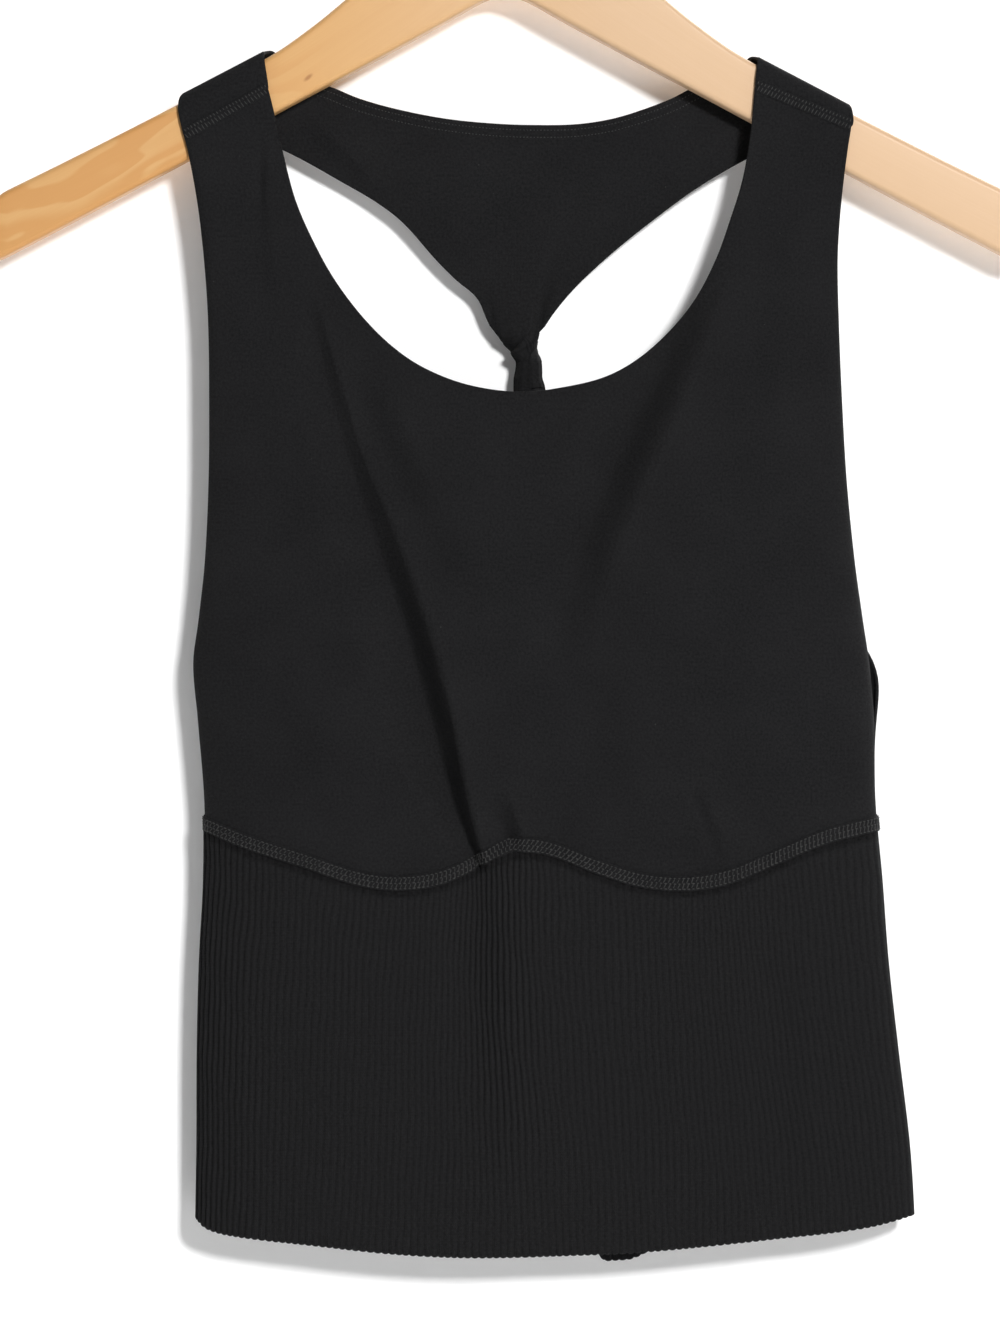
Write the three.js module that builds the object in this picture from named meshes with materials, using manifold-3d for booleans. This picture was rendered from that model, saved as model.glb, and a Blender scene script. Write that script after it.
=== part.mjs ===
// A black crop top with a wide rib waist and a twisted racer back, hanging on a flat wooden hanger.
// Millimetres. +Z is up, the front of the top faces -Y, and +X is on the right of a viewer facing it.
// The origin is the inner top of the hanger's hook, where a rail carries it.
// Each cloth piece is a wall of real thickness, worked out from tables of the hung garment's outline.

import * as THREE from "three";
import Module from "manifold-3d";

// Driving dimensions
const FRONT = -1;
const BACK = 1;
const JERSEY_WALL = 1.8;
const RIB_WALL = 1.2;
const RIB_HEIGHT = 0.6;
const RIB_COUNT = 106;
const SEAM_GAP = 0.3;
const SIDE_GAP = 0.4;
const HANGER_SPAN = 445;
const HANGER_THICKNESS = 12;
const HANGER_EDGE_ROUND = 3;
const HOOK_WIRE = 3.8;
const HOOK_INNER_RADIUS = 19;
const HOOK_SOCKET_DEPTH = 16;
const HOOK_SOCKET_GAP = 0.3;

// The hanger's outline on one side of its middle: its upper and lower edge at each distance from it.
const HANGER_EDGES = [
  { x: 0, top: -68, bottom: -119.5 },
  { x: 7, top: -68.6, bottom: -121.2 },
  { x: 12, top: -71, bottom: -123.6 },
  { x: 18, top: -77, bottom: -127 },
  { x: 28, top: -88.5, bottom: -132.6 },
  { x: 46, top: -105, bottom: -142.4 },
  { x: 62, top: -118, bottom: -151 },
  { x: 79, top: -132, bottom: -160 },
  { x: 98, top: -145.3, bottom: -170.2 },
  { x: 141, top: -167.8, bottom: -193.2 },
  { x: 182, top: -188.6, bottom: -215 },
  { x: 207, top: -200.9, bottom: -228.1 },
];
const HANGER_TIP = { x: HANGER_SPAN / 2, z: -222.5 };

// The hung garment, from the straps to the hem. left and right are its outline seen from the front.
// front and back are how far the middle of each face stands from the middle plane. side is how far
// the front's own side edge does: nothing once the side seam joins it to the back.
const BODY = [
  { z: -140, left: -136.2, right: 143.4, front: 7.7, back: 7.7, side: 7.7 },
  { z: -168, left: -136, right: 143.6, front: 7.7, back: 7.7, side: 7.7 },
  { z: -185, left: -133, right: 141.5, front: 7.8, back: 7.7, side: 7.5 },
  { z: -206, left: -128.7, right: 139.6, front: 8.3, back: 7.8, side: 7 },
  { z: -230, left: -125.5, right: 138.2, front: 9.6, back: 8.2, side: 6.3 },
  { z: -256, left: -123.8, right: 138.7, front: 11.6, back: 8.8, side: 5.4 },
  { z: -289, left: -123.4, right: 140.1, front: 14.2, back: 9.6, side: 4.4 },
  { z: -322, left: -123.7, right: 142.1, front: 16.6, back: 10.3, side: 3.4 },
  { z: -355, left: -125.3, right: 145.4, front: 18.2, back: 11, side: 2.2 },
  { z: -380, left: -128, right: 148.9, front: 19, back: 11.4, side: 1.2 },
  { z: -398, left: -130.2, right: 151.6, front: 19.2, back: 11.7, side: 0.5 },
  { z: -421, left: -128.3, right: 153.6, front: 19.2, back: 12, side: 0 },
  { z: -455, left: -125.6, right: 154.2, front: 18.6, back: 12, side: 0 },
  { z: -488, left: -125.4, right: 157.1, front: 17, back: 11.8, side: 0 },
  { z: -521, left: -127.1, right: 159.6, front: 15.4, back: 11.5, side: 0 },
  { z: -558, left: -128, right: 163.7, front: 14.2, back: 11.2, side: 0 },
  { z: -600, left: -128.2, right: 168.7, front: 13.2, back: 11, side: 0 },
  { z: -645, left: -129, right: 171.4, front: 12.6, back: 11, side: 0 },
];

// The underbust seam between the bodice and the rib: two cups that meet in a peak.
const FRONT_SEAM = [
  { x: -126, z: -465.5 },
  { x: -108, z: -473 },
  { x: -83, z: -481 },
  { x: -62, z: -488 },
  { x: -46, z: -490.3 },
  { x: -29, z: -488.5 },
  { x: -14, z: -482.5 },
  { x: -3, z: -476.5 },
  { x: 7, z: -474.3 },
  { x: 20, z: -476.5 },
  { x: 38, z: -483.5 },
  { x: 56, z: -489 },
  { x: 74, z: -490.5 },
  { x: 91, z: -488 },
  { x: 112, z: -479.5 },
  { x: 133, z: -471 },
  { x: 157, z: -465.5 },
];
const BACK_SEAM = { side: -465.5, dip: 6 };

const HEM = [
  { x: -129, z: -626.5 },
  { x: -124, z: -631.6 },
  { x: -112, z: -634.6 },
  { x: -79, z: -638.3 },
  { x: -46, z: -641.7 },
  { x: -13, z: -643.1 },
  { x: 29, z: -642.1 },
  { x: 62, z: -640.4 },
  { x: 112, z: -635.4 },
  { x: 150, z: -631 },
  { x: 171, z: -626 },
];
// The back hem hangs a little lower beside one soft pleat.
const BACK_HEM_DROP = { from: 39, full: 43, fade: 45, to: 66, depth: 3.4 };

// The front neckline, from the inner end of one shoulder seam to the other.
const FRONT_NECK = [
  { x: -96.5, z: -170 },
  { x: -93.2, z: -184.8 },
  { x: -87.8, z: -205.5 },
  { x: -80.7, z: -222.1 },
  { x: -71.6, z: -238.7 },
  { x: -59.1, z: -255.3 },
  { x: -46.3, z: -267.8 },
  { x: -33.8, z: -276.1 },
  { x: -16, z: -283 },
  { x: 6, z: -286 },
  { x: 25, z: -283.9 },
  { x: 42, z: -279.5 },
  { x: 56, z: -271.4 },
  { x: 69.5, z: -259.2 },
  { x: 79.5, z: -246.4 },
  { x: 87.8, z: -230.4 },
  { x: 93.6, z: -213.8 },
  { x: 98.1, z: -197.2 },
  { x: 101.5, z: -176.5 },
];

// The back neckline below the hanger, and the armhole edges of the racer back's yoke.
const BACK_NECK = [
  { x: -94, z: -153.5 },
  { x: -86, z: -156.2 },
  { x: -75, z: -158.6 },
  { x: -60.8, z: -164 },
  { x: -46.3, z: -168.2 },
  { x: -25.1, z: -172.3 },
  { x: -4.4, z: -174.4 },
  { x: 12.2, z: -175 },
  { x: 30, z: -174.6 },
  { x: 44.6, z: -172.3 },
  { x: 58.3, z: -168.2 },
  { x: 69.1, z: -164 },
  { x: 79, z: -159.2 },
  { x: 89, z: -156.4 },
  { x: 98, z: -154.5 },
];
const YOKE_ARMHOLE_LEFT = [
  { x: -127, z: -171.5 },
  { x: -112, z: -176.5 },
  { x: -91.1, z: -184.8 },
  { x: -68.3, z: -197.2 },
  { x: -52.9, z: -206.2 },
  { x: -42.5, z: -214.2 },
  { x: -28, z: -230.4 },
  { x: -15.2, z: -242.2 },
  { x: -6.5, z: -251 },
];
const YOKE_ARMHOLE_RIGHT = [
  { x: 134, z: -174.2 },
  { x: 119, z: -179.5 },
  { x: 100.6, z: -187.6 },
  { x: 78.6, z: -200.5 },
  { x: 62, z: -212.6 },
  { x: 45.4, z: -225.8 },
  { x: 28.8, z: -241.2 },
  { x: 20, z: -251.5 },
];

// Between the yoke and the lower back the cloth narrows to a strip that turns once round itself.
const TWIST = { x: 8.4, top: -259, bottom: -295, halfWidth: 6.4, core: 9.5, turn: -2 * Math.PI };
const YOKE_FOOT = { left: -0.8, right: 15.6 };
const LOWER_BACK_HEAD = { left: -3, right: 19.8 };

// The lower back's armhole edge, as a share of the half girth, from the armpit to the twist.
const LOWER_BACK_EDGE = [
  { share: 1, z: -421 },
  { share: 0.985, z: -401 },
  { share: 0.93, z: -382 },
  { share: 0.81, z: -362 },
  { share: 0.64, z: -344 },
  { share: 0.46, z: -329 },
  { share: 0.28, z: -316 },
  { share: 0.14, z: -306 },
];
// Beside one armhole the back's edge shows past the front's.
const BACK_PEEP = { z: -404, reach: 17, out: 3.4, from: 0.82 };

// The shoulder seams lie on the front, this much below the hanger's upper edge along the cloth.
const SHOULDER_SEAMS = {
  left: { outer: { x: -136, drop: 13.8 }, inner: { x: -99, drop: 13.6 } },
  right: { inner: { x: 103.2, drop: 9.6 }, outer: { x: 143.6, drop: 5.4 } },
};
const STRAP_CLEARANCE = 0.8;
const STRAP_RISE = 1;

// The largest folds: soft troughs from one end to the other, with their half widths.
const FRONT_FOLDS = [
  { x1: -77, z1: -252, x2: -40, z2: -372, half: 9, depth: 2.6, fade: 0.3 },
  { x1: -48, z1: -346, x2: -12, z2: -472, half: 7, depth: 4.2, fade: 0.22 },
  { x1: 80, z1: -256, x2: 33, z2: -372, half: 12, depth: 2.8, fade: 0.35 },
  { x1: 83, z1: -452, x2: 95, z2: -480, half: 5, depth: 1.6, fade: 0.4 },
  { x1: -6, z1: -440, x2: 3, z2: -580, half: 14, depth: 2.6, fade: 0.45 },
];
const BACK_FOLDS = [
  { x1: 4, z1: -312, x2: -34, z2: -396, half: 8, depth: 1.8, fade: 0.35 },
  { x1: 14, z1: -312, x2: 46, z2: -400, half: 8, depth: 1.8, fade: 0.35 },
  { x1: 36, z1: -560, x2: 37, z2: -660, half: 8, depth: 2.6, fade: 0.5 },
];
const YOKE_FOLDS = [
  { x1: -92, z1: -172, x2: -56, z2: -200, half: 6, depth: 1.2, fade: 0.4 },
];
// Fullness over each cup
const CUPS = [
  { x: -62, z: -415, wide: 52, tall: 62, depth: 3 },
  { x: 88, z: -415, wide: 52, tall: 62, depth: 3 },
];
// Where the ribs lie at the underbust seam, against where they lie at the hem, as shares of the width.
const RIB_FLOW = [
  { hem: -1, seam: -1 },
  { hem: -0.42, seam: -0.37 },
  { hem: 0, seam: -0.02 },
  { hem: 0.32, seam: 0.33 },
  { hem: 0.73, seam: 0.69 },
  { hem: 1, seam: 1 },
];

// How finely each piece is divided
const GRID = {
  strapColumns: 6,
  neckColumns: 34,
  bodiceRows: 15,
  ribRows: 4,
  ribInnerStep: 4,
  shoulderColumns: 16,
  yokeArm: 13,
  twistColumns: 6,
  yokeRows: 6,
  twistRows: 14,
  lowerBackRows: 9,
  hangerSection: 2,
  boreSides: 16,
  hookSection: 10,
  hookRings: 36,
};

// Materials
const jersey = new THREE.MeshStandardMaterial({ color: 0x1c1d1f, roughness: 0.85 });
const rib = new THREE.MeshStandardMaterial({ color: 0x161617, roughness: 0.9 });
const wood = new THREE.MeshStandardMaterial({ color: 0xe0b283, roughness: 0.45 });
const steel = new THREE.MeshStandardMaterial({ color: 0xb9bcc0, roughness: 0.25, metalness: 1 });

// Small maths
const mix = (a, b, t) => a + (b - a) * t;
const clamp = (t) => Math.min(1, Math.max(0, t));
const ease = (from, to, value) => {
  const t = clamp((value - from) / (to - from));
  return t * t * (3 - 2 * t);
};
const vector = (x, y, z) => new THREE.Vector3(x, y, z);

// A smooth function through a table's rows, from one column to another.
function through(rows, from, to) {
  const sorted = [...rows].sort((a, b) => a[from] - b[from]);
  const at = sorted.map((row) => row[from]);
  const value = sorted.map((row) => row[to]);
  const last = at.length - 1;
  const slope = at.map((_, i) => {
    const low = Math.max(i - 1, 0);
    const high = Math.min(i + 1, last);
    return (value[high] - value[low]) / (at[high] - at[low]);
  });
  return (x) => {
    if (x <= at[0]) return value[0];
    if (x >= at[last]) return value[last];
    const i = at.findIndex((edge, k) => k > 0 && x <= edge) - 1;
    const step = at[i + 1] - at[i];
    const t = (x - at[i]) / step;
    const t2 = t * t;
    const t3 = t2 * t;
    return (
      (2 * t3 - 3 * t2 + 1) * value[i] +
      (t3 - 2 * t2 + t) * step * slope[i] +
      (3 * t2 - 2 * t3) * value[i + 1] +
      (t3 - t2) * step * slope[i + 1]
    );
  };
}

// Evenly spaced points along a smooth curve through rows of x and z.
function along(rows, count) {
  const points = rows.map((row) => vector(row.x, 0, row.z));
  const curve = new THREE.CatmullRomCurve3(points, false, "centripetal");
  curve.arcLengthDivisions = 600;
  return curve.getSpacedPoints(count).map((p) => ({ x: p.x, z: p.z }));
}

// The value between two neighbours in a list, at the share u of its length.
function between(list, u) {
  const last = list.length - 1;
  const at = Math.min(last - 1, Math.floor(u * last + 1e-9));
  const t = u * last - at;
  const value = {};
  for (const name of Object.keys(list[0])) value[name] = mix(list[at][name], list[at + 1][name], t);
  return value;
}

// A quarter of a rounded section, from its middle to its side, by the length along it. s is the share
// of its half width and depth the share of its depth.
const SECTION_POWER = 3;
function halfSection(halfWidth, depth) {
  const samples = 400;
  const rows = [{ s: 0, depth: 1, length: 0 }];
  for (let i = 1; i <= samples; i++) {
    const angle = (i / samples) * (Math.PI / 2);
    const before = rows[i - 1];
    const s = Math.sin(angle) ** (2 / SECTION_POWER);
    const share = Math.max(0, Math.cos(angle)) ** (2 / SECTION_POWER);
    const step = Math.hypot((s - before.s) * halfWidth, (share - before.depth) * depth);
    rows.push({ s, depth: share, length: before.length + step });
  }
  return rows;
}
// Reads one column of such rows at a value of another.
function readRows(rows, from, to, value) {
  let high = 1;
  while (high < rows.length - 1 && rows[high][from] < value) high++;
  const a = rows[high - 1];
  const b = rows[high];
  return mix(a[to], b[to], clamp((value - a[from]) / (b[from] - a[from])));
}

// The body's section: across(q) gives the share of the half width at the share q of the half girth,
// girth(s) is its inverse, and roundness(s) is the depth's share at s.
const BODY_FLATNESS = 10;
const bodyRows = halfSection(BODY_FLATNESS, 1);
const bodyGirth = bodyRows.at(-1).length;
const across = (q) => Math.sign(q) * readRows(bodyRows, "length", "s", Math.abs(q) * bodyGirth);
const girth = (s) => (Math.sign(s) * readRows(bodyRows, "s", "length", Math.abs(s))) / bodyGirth;
const roundness = (s) => (1 - Math.min(1, Math.abs(s)) ** SECTION_POWER) ** (1 / SECTION_POWER);

// The body's outline and depths as functions of height
const leftAt = through(BODY, "z", "left");
const rightAt = through(BODY, "z", "right");
const frontAt = through(BODY, "z", "front");
const backAt = through(BODY, "z", "back");
const sideAt = through(BODY, "z", "side");
const middleAt = (z) => (leftAt(z) + rightAt(z)) / 2;
const halfAt = (z) => (rightAt(z) - leftAt(z)) / 2 - (JERSEY_WALL / 2) * ease(-175, -215, z);
const frontSeamAt = through(FRONT_SEAM, "x", "z");
const hemAt = through(HEM, "x", "z");
const shareAt = (x, z) => girth((x - middleAt(z)) / halfAt(z));

// How deep the folds of a table are at a place on the cloth
function foldsAt(folds, x, z) {
  let sum = 0;
  for (const fold of folds) {
    const dx = fold.x2 - fold.x1;
    const dz = fold.z2 - fold.z1;
    const length = Math.hypot(dx, dz);
    const t = ((x - fold.x1) * dx + (z - fold.z1) * dz) / length ** 2;
    const off = Math.abs((x - fold.x1) * dz - (z - fold.z1) * dx) / length;
    const ends = ease(-fold.fade, fold.fade, t) * ease(-fold.fade, fold.fade, 1 - t);
    sum += fold.depth * ends * ease(2 * fold.half, 0, off);
  }
  return sum;
}
function cupsAt(x, z) {
  const swell = (cup) => Math.exp(-(((x - cup.x) / cup.wide) ** 2) - ((z - cup.z) / cup.tall) ** 2);
  return CUPS.reduce((sum, cup) => sum + cup.depth * swell(cup), 0);
}

// The straps' way over the hanger: a height above the arc's middle is a length of cloth over the arm.
const [ARM_INNER, ARM_OUTER] = [98, 141].map((x) => HANGER_EDGES.find((row) => row.x === x));
const ARM_SLOPE = Math.atan2(ARM_INNER.top - ARM_OUTER.top, ARM_OUTER.x - ARM_INNER.x);
const armTopAt = (x) => ARM_INNER.top - (Math.abs(x) - ARM_INNER.x) * Math.tan(ARM_SLOPE);
const ARM_RISE = HANGER_THICKNESS / 2 / Math.cos(ARM_SLOPE);
const STRAP_RADIUS = HANGER_THICKNESS / 2 + STRAP_CLEARANCE + JERSEY_WALL / 2;
const STRAP_HEIGHT = STRAP_RADIUS / Math.cos(ARM_SLOPE) + STRAP_RISE;
const strapRows = halfSection(STRAP_RADIUS, STRAP_HEIGHT);
const STRAP_ARC = 2 * strapRows.at(-1).length;
const arcMiddleAt = (x) => armTopAt(x) - ARM_RISE;
function overHanger(x, height, face) {
  const middle = arcMiddleAt(x);
  const past = height - middle;
  if (past > STRAP_ARC) return vector(x, -face * STRAP_RADIUS, middle - (past - STRAP_ARC));
  const down = Math.abs(past - STRAP_ARC / 2);
  const side = past > STRAP_ARC / 2 ? -face : face;
  const y = side * STRAP_RADIUS * readRows(strapRows, "length", "s", down);
  return vector(x, y, middle + STRAP_HEIGHT * readRows(strapRows, "length", "depth", down));
}

// Where the cloth of the body lies: q is the share of the half girth from the middle, z the height.
function onBody(q, z, face) {
  const s = across(q);
  const x = middleAt(z) + halfAt(z) * s;
  if (face === FRONT && z > arcMiddleAt(x)) return overHanger(x, z, FRONT);
  const flat = roundness(s);
  const middle = face === FRONT ? frontAt(z) : backAt(z);
  const edge = Math.max(SIDE_GAP / 2, face === FRONT ? sideAt(z) : 0);
  const relief =
    face === FRONT ? cupsAt(x, z) - foldsAt(FRONT_FOLDS, x, z) : foldsAt(BACK_FOLDS, x, z);
  const peep =
    face === BACK && z > BACK_SEAM.side
      ? BACK_PEEP.out *
        Math.exp(-(((z - BACK_PEEP.z) / BACK_PEEP.reach) ** 2)) *
        ease(BACK_PEEP.from, 1, q)
      : 0;
  return vector(x + peep, face * (mix(edge, middle, flat) + relief * flat), z);
}

// The height of a line across the body, such as a seam or the hem, at a share of the half girth.
function heightOn(lineAt, q) {
  let z = lineAt(0);
  for (let i = 0; i < 5; i++) z = lineAt(middleAt(z) + halfAt(z) * across(q));
  return z;
}
// Both sides of the underbust seam have their corners in the bodice's columns.
const seamCorners = (() => {
  const columns = 2 * GRID.strapColumns + GRID.neckColumns;
  const list = [];
  for (let c = 0; c <= columns; c++) list.push({ z: heightOn(frontSeamAt, (2 * c) / columns - 1) });
  return list;
})();
const frontSeamHeight = (q) => between(seamCorners, (q + 1) / 2).z;
const backSeamAt = (q) => BACK_SEAM.side - BACK_SEAM.dip * (1 - q * q);
function hemHeight(q, face) {
  const z = heightOn(hemAt, q);
  if (face === FRONT) return z;
  const x = middleAt(z) + halfAt(z) * across(q);
  const { from, full, fade, to, depth } = BACK_HEM_DROP;
  return z - depth * ease(from, full, x) * ease(to, fade, x);
}

// A patch of cloth's middle surface, as a grid of points whose u and v turn to face outward.
function patch(columns, rows, pointAt, thickAt = () => JERSEY_WALL) {
  const points = [];
  const thick = [];
  const normals = [];
  const quads = [];
  const step = 2e-3;
  for (let r = 0; r <= rows; r++) {
    for (let c = 0; c <= columns; c++) {
      const u = c / columns;
      const v = r / rows;
      const du = pointAt(Math.min(1, u + step), v).sub(pointAt(Math.max(0, u - step), v));
      const dv = pointAt(u, Math.min(1, v + step)).sub(pointAt(u, Math.max(0, v - step)));
      points.push(pointAt(u, v));
      normals.push(du.cross(dv).normalize());
      thick.push(thickAt(u, v));
      if (r === rows || c === columns) continue;
      const a = r * (columns + 1) + c;
      quads.push([a, a + 1, a + columns + 2, a + columns + 1]);
    }
  }
  return { points, normals, thick, quads };
}

// One middle surface from patches that share the points of their edges.
function joined(patches) {
  const all = { points: [], normals: [], thick: [], quads: [] };
  for (const piece of patches) {
    const before = all.points.length;
    const index = piece.points.map((point, i) => {
      for (let k = 0; k < before; k++) {
        if (all.points[k].distanceTo(point) > 0.05) continue;
        all.normals[k].add(piece.normals[i]).normalize();
        return k;
      }
      all.points.push(point);
      all.normals.push(piece.normals[i].clone());
      all.thick.push(piece.thick[i]);
      return all.points.length - 1;
    });
    all.quads.push(...piece.quads.map((quad) => quad.map((i) => index[i])));
  }
  return all;
}

function geometryFrom(points, index) {
  const geometry = new THREE.BufferGeometry();
  const position = points.flatMap((p) => [p.x, p.y, p.z]);
  geometry.setAttribute("position", new THREE.Float32BufferAttribute(position, 3));
  geometry.setIndex(index);
  geometry.computeVertexNormals();
  return geometry;
}

// A closed wall round a middle surface, whose outer side is the one that the normals point to.
function wall({ points, normals, thick, quads }) {
  const side = (share) => points.map((p, i) => p.clone().addScaledVector(normals[i], share * thick[i]));
  const all = [...side(0.5), ...side(-0.5)];
  const count = points.length;
  const index = [];
  const edges = new Map();
  for (const [a, b, c, d] of quads) {
    index.push(a, b, c, a, c, d);
    index.push(a + count, c + count, b + count, a + count, d + count, c + count);
    for (const [from, to] of [[a, b], [b, c], [c, d], [d, a]]) {
      if (!edges.delete(`${to},${from}`)) edges.set(`${from},${to}`, [from, to]);
    }
  }
  for (const [from, to] of edges.values()) {
    index.push(from, from + count, to + count, from, to + count, to);
  }
  return geometryFrom(all, index);
}

// A closed wall with ribs: fine raised columns outside, and a plain and coarser inside.
function ribbedWall(columns, rows, innerStep, pointAt) {
  const inner = columns / innerStep;
  const crest = RIB_WALL / 2 + RIB_HEIGHT;
  const outerSide = patch(columns, rows, pointAt);
  const innerSide = patch(inner, rows, pointAt);
  const all = [];
  outerSide.points.forEach((p, i) => {
    const onRib = (i % (columns + 1)) % 2 === 1;
    all.push(p.clone().addScaledVector(outerSide.normals[i], onRib ? crest : RIB_WALL / 2));
  });
  innerSide.points.forEach((p, i) => {
    all.push(p.clone().addScaledVector(innerSide.normals[i], -RIB_WALL / 2));
  });
  const first = outerSide.points.length;
  const index = [];
  for (const [a, b, c, d] of outerSide.quads) index.push(a, b, c, a, c, d);
  for (const quad of innerSide.quads) {
    const [a, b, c, d] = quad.map((i) => i + first);
    index.push(a, c, b, a, d, c);
  }
  const outerAt = (c, r) => r * (columns + 1) + c;
  const innerAt = (c, r) => first + r * (inner + 1) + c;
  for (let c = 0; c < inner; c++) {
    const low = [innerAt(c, 0), innerAt(c + 1, 0)];
    const high = [innerAt(c, rows), innerAt(c + 1, rows)];
    const half = innerStep / 2;
    for (let k = 0; k < innerStep; k++) {
      const at = c * innerStep + k;
      const end = k < half ? 0 : 1;
      index.push(low[end], outerAt(at + 1, 0), outerAt(at, 0));
      index.push(high[end], outerAt(at, rows), outerAt(at + 1, rows));
    }
    index.push(low[0], low[1], outerAt(c * innerStep + half, 0));
    index.push(high[1], high[0], outerAt(c * innerStep + half, rows));
  }
  for (let r = 0; r < rows; r++) {
    index.push(outerAt(0, r), outerAt(0, r + 1), innerAt(0, r + 1));
    index.push(outerAt(0, r), innerAt(0, r + 1), innerAt(0, r));
    index.push(outerAt(columns, r), innerAt(inner, r + 1), outerAt(columns, r + 1));
    index.push(outerAt(columns, r), innerAt(inner, r), innerAt(inner, r + 1));
  }
  return geometryFrom(all, index);
}

// A closed solid through rings that all have the same number of points.
function loft(rings) {
  const around = rings[0].length;
  const points = rings.flat();
  const index = [];
  for (let r = 0; r + 1 < rings.length; r++) {
    for (let k = 0; k < around; k++) {
      const a = r * around + k;
      const b = r * around + ((k + 1) % around);
      index.push(a, b, b + around, a, b + around, a + around);
    }
  }
  for (const [ring, order] of [[0, -1], [rings.length - 1, 1]]) {
    const centre = rings[ring].reduce((sum, p) => sum.add(p), vector(0, 0, 0)).divideScalar(around);
    points.push(centre);
    for (let k = 0; k < around; k++) {
      const edge = [ring * around + k, ring * around + ((k + 1) % around)];
      if (order < 0) edge.reverse();
      index.push(points.length - 1, ...edge);
    }
  }
  return geometryFrom(points, index);
}

// A ring of points round a centre, that starts on one axis and turns to the other.
function circle(centre, axis, other, radius, count) {
  const ring = [];
  for (let k = 0; k < count; k++) {
    const angle = (k / count) * 2 * Math.PI;
    const point = centre.clone().addScaledVector(axis, radius * Math.cos(angle));
    ring.push(point.addScaledVector(other, radius * Math.sin(angle)));
  }
  return ring;
}

// A height along the cloth of a shoulder seam, from its outer end at 0 to its inner end at 1.
function seamHeight(side, t, face) {
  const { inner, outer } = SHOULDER_SEAMS[side];
  const x = mix(outer.x, inner.x, t);
  const height = armTopAt(x) - mix(outer.drop, inner.drop, t);
  const z = face === FRONT ? height : 2 * arcMiddleAt(x) + STRAP_ARC - height;
  return { x, z: z - SEAM_GAP / 2 };
}

// The front bodice: its columns run up from the underbust seam to the shoulder seams and the neckline.
function frontBodice() {
  const { strapColumns, neckColumns, bodiceRows } = GRID;
  const strap = (side) => {
    const list = [];
    for (let i = 0; i <= strapColumns; i++) list.push(seamHeight(side, i / strapColumns, FRONT));
    return list;
  };
  const left = strap("left");
  const right = strap("right").reverse();
  const neck = along([left.at(-1), ...FRONT_NECK, right[0]], neckColumns);
  const top = [...left, ...neck.slice(1, -1), ...right].map((p) => ({ q: shareAt(p.x, p.z), z: p.z }));
  top[0].q = -1;
  top.at(-1).q = 1;
  const pointAt = (u, v) => {
    const q = mix(-1, 1, u);
    const end = between(top, u);
    const low = frontSeamHeight(q) + SEAM_GAP / 2;
    return onBody(mix(q, end.q, v), mix(low, end.z, v), FRONT);
  };
  return wall(patch(top.length - 1, bodiceRows, pointAt));
}

// The back's strip at the twist: off the axis, it turns with the height.
function onTwist(x, z) {
  const angle = TWIST.turn * ease(TWIST.top, TWIST.bottom, z);
  const off = x - TWIST.x;
  const y = backAt(z) + foldsAt(BACK_FOLDS, x, z) + off * Math.sin(angle);
  return vector(TWIST.x + off * Math.cos(angle), y, z);
}
// The strip is gathered, so it is thick in its middle where it turns.
function gathered(u, z) {
  const near = ease(TWIST.top + 20, TWIST.top - 8, z) * ease(TWIST.bottom - 20, TWIST.bottom + 8, z);
  const lens = Math.sqrt(Math.max(0, 1 - (2 * u - 1) ** 2));
  return mix(JERSEY_WALL, TWIST.core, lens * near);
}

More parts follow.
